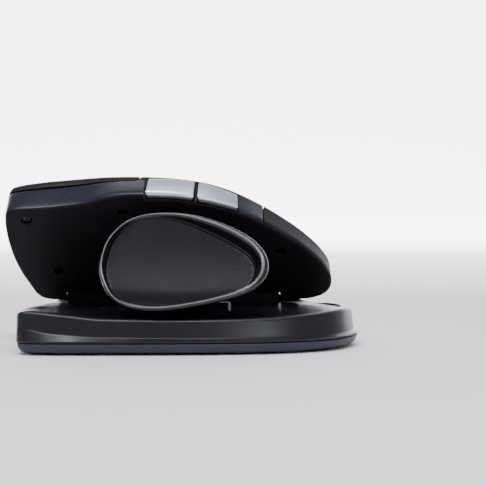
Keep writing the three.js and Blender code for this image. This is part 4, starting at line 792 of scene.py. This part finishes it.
# the shell is eased under the keys' lower corners, to clear them when pressed
cut(pieces["front_shell"], vbox(-62, -57.3, 31.0, 33.0, 8.6, 9.75))
cut(pieces["front_shell"], vbox(-54.6, -51.6, 4.0, 5.3, 7.8, 9.0))
place(pieces["front_shell"], "front_shell_moulding", "mouse_body", ["front_shell"], SLATE, BODY_M)
place(pieces["rear_palm_cover"], "palm_cover_moulding", "mouse_body", ["rear_palm_cover"], PALM, BODY_M)
place(pieces["left_key"], "left_key_cap", "left_key_body", ["left_key"], KEYM, BODY_M)
place(pieces["right_key"], "right_key_cap", "right_key_body", ["right_key"], KEYM, BODY_M)

# underside cover: a plate out to the crease, a riser and the roof of the hinge channel
under = copy(outer, "under")
cut(under, vbox(-90, 90, -20, 90, SPLIT_W[0], 60))
plate = body_solid(WALL + 0.3, -1.0)
boolean(plate, vbox(-90, 90, -20, 90, 0.3, 1.9), "INTERSECT")
join_solid(under, plate)
cut(under, *channel())
UND = [(-53.2, 41.0), (-20.0, 45.2), (-44, 13), (34, 24)]
for x, v in UND:
    join_solid(under, lathe([(0, 1.4), (3.0, 1.4), (3.0, 3.8), (0, 3.8)], 28, Matrix.Translation((x, -v, 0))))
    cut(under, well(x, -v, -0.02, 2.0, 1.9, 0.3, up=-1))
# the underside cover takes the darker copy of the slate plastic: painted shade
place(under, "underside_moulding", "mouse_body", ["underside_cover"], UNDERSIDE_PAINTED_SHADE, BODY_M, angle=26)
for i, (x, v) in enumerate(UND):
    s = cross_screw(1.65, 1.0, 0.68, 2.0)
    place(s, "under_screw_%d" % (i + 1), "mouse_body", ["underside_screw_%d" % (i + 1)], BLACKSTEEL, BODY_M @ Matrix.Translation((x, -v, 0.8)) @ Matrix.Rotation(math.pi, 4, "X"))

# side buttons: pillowed caps standing proud of the wall
def side_button(poly, name, node, stem):
    b = body_solid(-1.05, name="sb")
    cut(b, body_solid(1.2, -1.0))
    poly = [(p[0], max(p[1], 1.9)) for p in poly]
    boolean(b, prism(rounded(poly, 0.9), 36, 70, V_M), "INTERSECT")
    ps = sorted(parts_of(b), key=lambda o: -len(o.data.vertices))
    b = ps[0]; kill(*ps[1:])
    remeshed(b, 0.13, 22, 0.5)
    for v in b.data.vertices:
        # the lower edge rolls back under
        t = clamp((3.5 - v.co.z) / 1.6, 0, 1)
        u = clamp((v.co.z - 8.9) / 1.4, 0, 1)
        v.co.y += 1.7 * (1 - math.sqrt(1 - min(t, 0.985) ** 2)) + 0.35 * u * u + 0.14 * clamp((v.co.z - 6.0) / 3.0, -1, 1) ** 2
    cut(b, body_solid(1.2, -1.0))
    join_solid(b, vbox(*stem))
    place(b, name, node + "_body", [node], SILVER, BODY_M, angle=60)
side_button(BTN_A, "front_side_button_cap", "front_side_button", (-5.4, -2.6, 46.4, 49.3, 6.4, 9.0))
side_button(BTN_B, "rear_side_button_cap", "rear_side_button", (10.6, 13.4, 42.7, 45.2, 6.4, 9.0))
mb = body_solid(-0.45, name="mb")
cut(mb, body_solid(1.6, -1.0))
boolean(mb, prism([(p[0], -p[1]) for p in rounded([(MODE[0], MODE[2]), (MODE[1], MODE[2]), (MODE[1], MODE[3]), (MODE[0], MODE[3])], 0.9)], 10, 30), "INTERSECT")
remeshed(mb, 0.12, 22, 0.5)
join_solid(mb, vbox(-22, -20, 25.8, 27.8, 10.6, 17.0))
place(mb, "mode_button_cap", "mode_button_body", ["mode_button"], SILVER, BODY_M, angle=60)
lw = body_solid(0.0, name="lw")
cut(lw, body_solid(1.8, -1.0))
boolean(lw, prism([(p[0], -p[1]) for p in rounded([(LED[0], LED[2]), (LED[1], LED[2]), (LED[1], LED[3]), (LED[0], LED[3])], 0.7)], 10, 30), "INTERSECT")
join_solid(lw, vbox(-12.6, -11.2, 26.1, 27.5, 8, 17.6))
place(lw, "light_window_lens", "mouse_body", ["light_window"], CLEAR, BODY_M)
kill(outer)

# scroll wheel: hub and ribbed tyre
W_M = BODY_M @ Matrix.Translation((WHEEL[0], -WHEEL[1], WHEEL[2])) @ Matrix.Rotation(math.pi / 2, 4, "X")
prof = [(0, -2.0), (5.0, -2.0), (5.3, -2.3), (5.5, -2.75), (6.3, -2.8), (6.5, -2.6), (6.5, 2.6), (6.3, 2.8), (5.5, 2.75), (5.3, 2.3), (5.0, 2.0), (0, 2.0)]
hub = lathe(prof, 72)
join_solid(hub, lathe([(0, -7.6), (1.0, -7.6), (1.2, -7.4), (1.2, 5.6), (1.0, 5.8), (0, 5.8)], 32))
place(hub, "wheel_hub_moulding", "scroll_wheel", ["wheel_hub"], SILVER, W_M)
def tyre():
    ribs, n = 36, 36 * 8
    prof = [(6.65, -3.1), (7.2, -3.1), (7.6, -2.95), (7.85, -2.6), (7.97, -2.0), (8.0, -1.0), (8.0, 1.0), (7.97, 2.0), (7.85, 2.6), (7.6, 2.95), (7.2, 3.1), (6.65, 3.1)]
    rings = []
    for k in range(n):
        a = 2 * math.pi * k / n
        u = (k / 8) % 1.0
        g = 0.42 * max(0.0, math.cos(math.pi * (u - 0.5) * 2.2)) if 0.25 < u < 0.75 else 0.0
        ring = []
        for r, z in prof:
            rr = r - g * clamp((r - 7.5) / 0.4, 0, 1)
            ring.append((rr * math.cos(a), rr * math.sin(a), z))
        rings.append(ring)
    return loft("tyre", rings, close=True)
place(tyre(), "wheel_tyre_ribbed", "scroll_wheel", ["wheel_tyre"], TYRE, W_M, angle=40)

# ================================================================ thumb rest, in the dish frame
DISH_OUT = [
    (-27.0, -1, -0.6), (-26, 5.5, -0.9), (-23.4, 10.9, -1.1), (-18.5, 15.9, -1.2), (-12.5, 18.5, -1.2), (-5.2, 19.3, -1.1), (3, 18.8, -1.0), (11.5, 16.5, -1.0),
    (19.4, 12.9, -1.0), (25.8, 8.2, -1.0), (29.2, 2.4, -0.7), (29.0, -3.8, 0.2), (25.4, -9.2, 1.3), (19.4, -12.6, 2.3), (12.0, -15.0, 3.0), (4, -16.9, 3.5), (-4, -18.1, 3.5), (-11.5, -18.1, 3.2),
    (-18, -16.4, 2.4), (-22.6, -12.9, 1.3), (-25.6, -7.4, 0.3)]
RIM_WIDTH = [(-180, 0.45), (-150, 0.5), (-120, 0.56), (-90, 0.56), (-60, 0.62), (-30, 0.78), (0, 1), (30, 1), (60, 0.88), (80, 0.68), (100, 0.48), (120, 0.34), (150, 0.32), (180, 0.45)]
ND = 280
d_out = closed_spline(DISH_OUT, ND)
DISH_K = np.array([table(RIM_WIDTH, math.degrees(math.atan2(p[1], p[0]))) for p in d_out])
for _ in range(6): DISH_K = relax(DISH_K, 3)
def smooth_np(a, b, x):
    t = np.clip((x - a) / (b - a), 0, 1)
    return t * t * (3 - 2 * t)
def dish_n(u, t): return -8.2 + 0.019 * t * t + 0.0052 * u * u + 5.0 * smooth_np(-6, -18, t)
def d_ring(d, f):
    p = inset(d_out, d)
    return np.column_stack([p[:, 0], p[:, 1], f(p, d_out[:, 2])])
# the lower crest leans a little towards the pad
def lip_drop(p, d): return (0.15 * clamp(d - 0.7, 0, 3.0) + 0.02) * smooth_np(-6, -12, p[:, 1])
def d_lerp(c, s):
    return np.column_stack([lerp(c[:, 0], np.clip(c[:, 0] * 0.42, -9, 10), s), lerp(c[:, 1], 0, s)])
def catmull(rows, per):
    rows = [np.array(r, float) for r in rows]
    out = []
    for i in range(len(rows) - 1):
        a, b, c, d = rows[max(i - 1, 0)], rows[i], rows[i + 1], rows[min(i + 2, len(rows) - 1)]
        for k in range(per):
            t = k / per
            out.append(0.5 * (2 * b + (c - a) * t + (2 * a - 5 * b + 4 * c - d) * t * t + (3 * b - a - 3 * c + d) * t ** 3))
    out.append(rows[-1])
    return out
def dish_shell():
    R = []
    b = inset(d_out, 2.2)
    for s in (0.9, 0.72, 0.55, 0.4, 0.27, 0.16, 0.08, 0.03):
        q = d_lerp(b, s)
        base = dish_n(q[:, 0], q[:, 1]) - 3.0
        k = math.exp(-((s / 0.12) ** 2))
        edge = d_out[:, 2] - 4.15
        R.append(np.column_stack([q, lerp(base, np.maximum(base, np.minimum(edge, base + 2.0)), k)]))
    prof = catmull([(1.75, -4.0), (1.25, -3.6), (0.4, -2.75), (0.0, -1.6), (0.35, -0.62), (1.1, -0.08), (1.7, 0.0)], 4)
    front = False
    for d, n in prof:
        front = front or n > -1.61
        if not front: R.append(d_ring(d, lambda p, h: h + n))
        else:
            # the part that shows narrows with the rim, and never sinks below the pad
            R.append(d_ring(max(d, 0) * DISH_K, lambda p, h: h + n - lip_drop(p, d)))
    for q in (0.12, 0.22, 0.3, 0.38, 0.46, 0.54, 0.62, 0.7, 0.78, 0.86, 0.93, 1.0):
        k = clamp((q - 0.2) / 0.8, 0, 1)
        R.append(d_ring((1.7 + 2.85 * q) * DISH_K, lambda p, h: lerp(h - lip_drop(p, 1.7 + 2.85 * q), dish_n(p[:, 0], p[:, 1]) + 0.14, k * k * (3 - 2 * k))))
    c = inset(d_out, 4.62 * DISH_K)
    R.append(np.column_stack([c[:, :2], dish_n(c[:, 0], c[:, 1]) - 0.35]))
    R.append(np.column_stack([c[:, :2], dish_n(c[:, 0], c[:, 1]) - 1.2]))
    for s in (0.15, 0.3, 0.5, 0.7, 0.9):
        q = d_lerp(c, s)
        R.append(np.column_stack([q, dish_n(q[:, 0], q[:, 1]) - 1.2]))
    return loft("rest", R)
rest = dish_shell()
BOSS_N = -15.4
join_solid(rest, lathe([(0, BOSS_N), (5.1, BOSS_N), (5.4, BOSS_N + 0.3), (5.4, BOSS_N + 5.0), (5.6, BOSS_N + 5.6), (0, BOSS_N + 5.7)], 64, Matrix.Translation((2, 1, 0))))
cut(rest, lathe([(0, BOSS_N - 1), (1.3, BOSS_N - 1), (1.3, BOSS_N + 3.4), (0, BOSS_N + 3.4)], 32, Matrix.Translation((2, 1, 0))))
place(rest, "thumb_rest_moulding", "rest", ["thumb_rest"], RIM, DISH_M, angle=38)

def dotted_pad():
    """rubber pad with a close pattern of small raised dots on its face"""
    edge = d_ring(4.62 * DISH_K + 0.16, lambda p, h: 0 * h)
    out2 = edge[:, :2]
    from mathutils.geometry import delaunay_2d_cdt
    inner_edge = inset(edge, 0.22)[:, :2]
    lim = inset(edge, 0.75)[:, :2]
    def inside(P, pt):
        x, y = pt
        a, b = P, np.roll(P, -1, 0)
        k = ((a[:, 1] > y) != (b[:, 1] > y)) & (x < (b[:, 0] - a[:, 0]) * (y - a[:, 1]) / (b[:, 1] - a[:, 1] + 1e-12) + a[:, 0])
        return bool(k.sum() % 2)
    pitch = 0.84
    r0, h0 = pitch * 0.34, 0.13
    pts, hts = [], []
    for row in range(-60, 60):
        for col in range(-60, 60):
            u = (col + 0.5 * (row % 2)) * pitch; t = row * pitch * 0.866
            if abs(u) > 26 or abs(t) > 18 or not inside(lim, (u, t)): continue
            pts.append((u, t)); hts.append(h0)
            n1 = 8
            for rr, hh in ((0.5, 0.82), (0.86, 0.32), (1.0, 0.0)):
                for k in range(n1):
                    a = 2 * math.pi * (k + 0.5 * (rr != 0.86)) / n1
                    pts.append((u + r0 * rr * math.cos(a), t + r0 * rr * math.sin(a))); hts.append(h0 * hh)
    nb = len(pts)
    m = len(inner_edge)
    pts += [tuple(p) for p in inner_edge]; hts += [0.0] * m
    edges = [(nb + i, nb + (i + 1) % m) for i in range(m)]
    vc, ed, fc, ov, oe, of_ = delaunay_2d_cdt([Vector(p) for p in pts], edges, [], 1, 1e-6, True)
    h_of = [hts[o[0]] if o else 0.0 for o in ov]
    V = [(p.x, p.y, float(dish_n(p.x, p.y)) + 0.05 + h) for p, h in zip(vc, h_of)]
    where = {}
    for i, o in enumerate(ov):
        for q in o: where[q] = i
    top = [where[nb + i] for i in range(m)]
    F = [tuple(f) for f in fc]
    last = top
    for d, dn in ((0.1, 0.02), (0.02, -0.04), (0.0, -0.14), (0.0, -0.9)):
        p = inset(edge, d)[:, :2]
        base = len(V)
        V += [(x, y, float(dish_n(x, y)) + dn) for x, y in p]
        cur = list(range(base, base + m))
        for i in range(m): F.append((last[i], last[(i + 1) % m], cur[(i + 1) % m], cur[i]))
        last = cur
    for s in (0.3, 0.62, 0.9):
        q = d_lerp(edge, s)
        base = len(V)
        V += [(x, y, float(dish_n(x, y)) - 0.9) for x, y in q]
        cur = list(range(base, base + m))
        for i in range(m): F.append((last[i], last[(i + 1) % m], cur[(i + 1) % m], cur[i]))
        last = cur
    c = len(V)
    q = d_lerp(edge, 0.9).mean(0)
    V.append((q[0], q[1], float(dish_n(q[0], q[1])) - 0.9))
    for i in range(m): F.append((last[i], last[(i + 1) % m], c))
    return fix_normals(new_obj("pad", V, F))
place(dotted_pad(), "thumb_pad_dotted", "rest", ["thumb_pad"], RUBBER, DISH_M, angle=50)

# rail, carriage and arm, in the flat frame
RAIL_X, RAIL_V0, RAIL_V1, PIV = 2, 15, 43, (2, 30.5)
rail = vbox(RAIL_X - 3, RAIL_X + 3, RAIL_V0, RAIL_V1, -2.4, 0.0)
rail.data.transform(Matrix.Translation((0, 0, -0.05)))
join_solid(rail, vbox(RAIL_X - 6, RAIL_X + 6, RAIL_V0, RAIL_V1, -4.6, -2.3))
bevel(rail, 0.35, 3, 50)
place(rail, "thumb_rail_moulding", "mouse_body", ["thumb_rail"], DARK, BODY_M)
car = vbox(RAIL_X - 9, RAIL_X + 9, PIV[1] - 6.5, PIV[1] + 6.5, -9.4, -0.7)
bevel(car, 1.1, 5, 50)
cut(car, vbox(RAIL_X - 3.4, RAIL_X + 3.4, 20, 60, -2.8, 0), vbox(RAIL_X - 6.4, RAIL_X + 6.4, 20, 60, -5.0, -1.9))
cut(car, lathe([(0, -12), (2.1, -12), (2.1, -5.6), (0, -5.6)], 40, Matrix.Translation((PIV[0], -PIV[1], 0))))
place(car, "thumb_carriage_moulding", "carriage", ["thumb_carriage"], DARK, BODY_M)
TO_FLAT = BODY_M.inverted() @ DISH_M
end, inn = TO_FLAT @ Vector((2, 1, BOSS_N - 0.35)), TO_FLAT @ Vector((2, 1, BOSS_N - 4.4))
axis_n = (end - inn).normalized()
to_axis = Vector((0, 0, 1)).rotation_difference(axis_n).to_matrix().to_4x4()
arm = lathe([(0, -12.75), (6.6, -12.75), (7.0, -12.6), (7.2, -12.2), (7.2, -10.3), (7.0, -9.9), (6.6, -9.75), (1.75, -9.75), (1.75, -5.6), (0, -5.6)], 72, Matrix.Translation((PIV[0], -PIV[1], 0)))
pl_len = (end - inn).length
join_solid(arm, lathe([(0, 0), (5.6, 0), (6.0, 0.15), (6.2, 0.6), (6.2, pl_len - 0.4), (6.0, pl_len - 0.1), (5.8, pl_len), (0, pl_len)], 72, Matrix.Translation(inn) @ to_axis))
def tube(path, r, n):
    rings = []
    for i, p in enumerate(path):
        a, b = path[max(i - 1, 0)], path[min(i + 1, len(path) - 1)]
        T = (b - a).normalized()
        X = Vector((1, 0, 0)); X = (X - T * X.dot(T)).normalized(); Y = T.cross(X)
        rr = r(i / (len(path) - 1)) if callable(r) else r
        rings.append([tuple(p + X * rr * math.cos(2 * math.pi * k / n) + Y * rr * math.sin(2 * math.pi * k / n)) for k in range(n)])
    return loft("tube", rings)
pa, pb = Vector((PIV[0], -PIV[1], -12.2)), inn + axis_n * 1.4
pm = Vector((PIV[0], -(PIV[1] + 0.5), pb.z + 2.5))
path = [Vector(p) for p in catmull([pa, pm, pb], 16)]
join_solid(arm, tube(path, 4.15, 40))
remeshed(arm, 0.24, 16, 0.5)
half = box(-60, -60, 0, 60, 60, 60)
half.data.transform(Matrix.Translation(end) @ to_axis)
boolean(half, vbox(-40, 40, 0, 90, -60, -13.4), "INTERSECT")
cut(arm, half)
cut(arm, lathe([(0, -20), (1.45, -20), (1.45, 12), (0, 12)], 36, Matrix.Translation(end) @ to_axis), lathe([(0, -18.6), (2.9, -18.6), (2.9, -2.6), (0, -2.6)], 48, Matrix.Translation(end) @ to_axis))
place(arm, "thumb_arm_moulding", "arm", ["thumb_arm"], DARK, BODY_M, angle=40)

# ================================================================ internals keep their solids, with finished materials
KEEP = {
    "hinge_washer_front": STEEL, "hinge_washer_rear": STEEL, "power_switch": STEEL, "charging_socket": STEEL, "swivel_screw": STEEL,
    "sensor_board": BOARD, "main_board": BOARD, "optical_sensor": CHIP, "sensor_lens": CLEAR, "wheel_cradle": WHITEP, "battery_cell": CELLM,
    "left_switch": CHIP, "right_switch": CHIP, "front_side_switch": CHIP, "rear_side_switch": CHIP, "mode_switch": CHIP, "wheel_click_switch": CHIP, "wheel_encoder": CHIP}
for n, m in KEEP.items():
    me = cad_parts[n].data
    me.materials.clear(); me.materials.append(m)
left_over = [n for n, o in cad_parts.items() if not o.hide_render and n not in KEEP]
print("nodes with no finish:", left_over)

# ================================================================ studio
def stage_floor():
    prof = []
    for y in np.linspace(-3.0, 1.1, 12): prof.append((y, 0.0))
    for a in np.linspace(0, 90, 28)[1:]:
        t = math.radians(a)
        prof.append((1.1 + 0.9 * math.sin(t), 0.9 - 0.9 * math.cos(t)))
    for z in np.linspace(0.9, 3.2, 8)[1:]: prof.append((2.0, z))
    V, F, n = [], [], len(prof)
    cols = np.linspace(-3, 3, 13)
    for x in cols:
        for y, z in prof: V.append((x, y, z))
    for i in range(len(cols) - 1):
        for j in range(n - 1):
            F.append((i * n + j, (i + 1) * n + j, (i + 1) * n + j + 1, i * n + j + 1))
    o = new_obj("studio_sweep", V, F)
    for p in o.data.polygons: p.use_smooth = True
    m, nt, b = node_mat("studio_paper")
    N, L = nt.nodes.new, nt.links.new
    tc = N("ShaderNodeTexCoord"); no = N("ShaderNodeTexNoise"); no.inputs["Scale"].default_value = 3
    L(tc.outputs["Object"], no.inputs["Vector"])
    ramp = N("ShaderNodeValToRGB")
    ramp.color_ramp.elements[0].color, ramp.color_ramp.elements[1].color = (0.86, 0.86, 0.87, 1), (0.89, 0.89, 0.9, 1)
    L(no.outputs["Fac"], ramp.inputs["Fac"]); L(ramp.outputs["Color"], b.inputs["Base Color"])
    b.inputs["Roughness"].default_value = 0.9
    b.inputs["Specular IOR Level"].default_value = 0.1
    o.data.materials.append(m)
stage_floor()
world = bpy.data.worlds.new("studio"); bpy.context.scene.world = world
world.use_nodes = True
world.node_tree.nodes["Background"].inputs["Color"].default_value = (0.97, 0.98, 1.0, 1)
world.node_tree.nodes["Background"].inputs["Strength"].default_value = 0.48
def area(name, at, to, size, power, colour=(1, 1, 1)):
    l = bpy.data.lights.new(name, "AREA")
    l.shape, l.size, l.size_y, l.energy, l.color = "RECTANGLE", size[0], size[1], power, colour
    o = bpy.data.objects.new(name, l)
    bpy.context.scene.collection.objects.link(o)
    o.location = at
    o.rotation_euler = (Vector(to) - Vector(at)).to_track_quat("-Z", "Y").to_euler()
    return o
area("key_light", (0.02, -0.13, 0.9), (0, 0, 0.03), (0.8, 0.3), 2.1, (0.9, 0.92, 1.0))
area("rest_light", (-0.05, -0.62, 0.75), (0, 0, 0.02), (0.5, 0.25), 0.9, (0.9, 0.92, 1.0))
area("strip_light", (-0.1, -0.44, 0.9), (0, 0, 0.03), (0.75, 0.05), 8.0, (0.9, 0.92, 1.0))
area("front_light", (-0.6, -1.2, 0.6), (0, 0, 0.03), (0.3, 0.3), 0.5, (0.9, 0.93, 1.0))
area("side_light", (0.56, -1.02, 0.36), (0.02, 0, 0.01), (0.34, 0.2), 2.6, (0.9, 0.93, 1.0))
area("back_wash", (0, 0.6, 0.5), (0, 2.0, 0.3), (2.4, 0.3), 75)
area("floor_wash", (0, 0.55, 0.8), (0, 1.65, 0.3), (2.0, 0.5), 55)

# camera: long lens, low and square on to the thumb side
E = math.radians(3.0)
T = Vector((0.021, 0, 0.03514))
cam = bpy.data.cameras.new("photo_view"); cam.sensor_fit = "HORIZONTAL"; cam.sensor_width = 36; cam.lens = 36 * 2029 / 486
cam.clip_start, cam.clip_end = 0.02, 20
co = bpy.data.objects.new("photo_view", cam)
bpy.context.scene.collection.objects.link(co)
co.location = T + 0.7 * Vector((0, -math.cos(E), math.sin(E)))
co.rotation_euler = (math.pi / 2 - E, 0, 0)
bpy.context.scene.camera = co
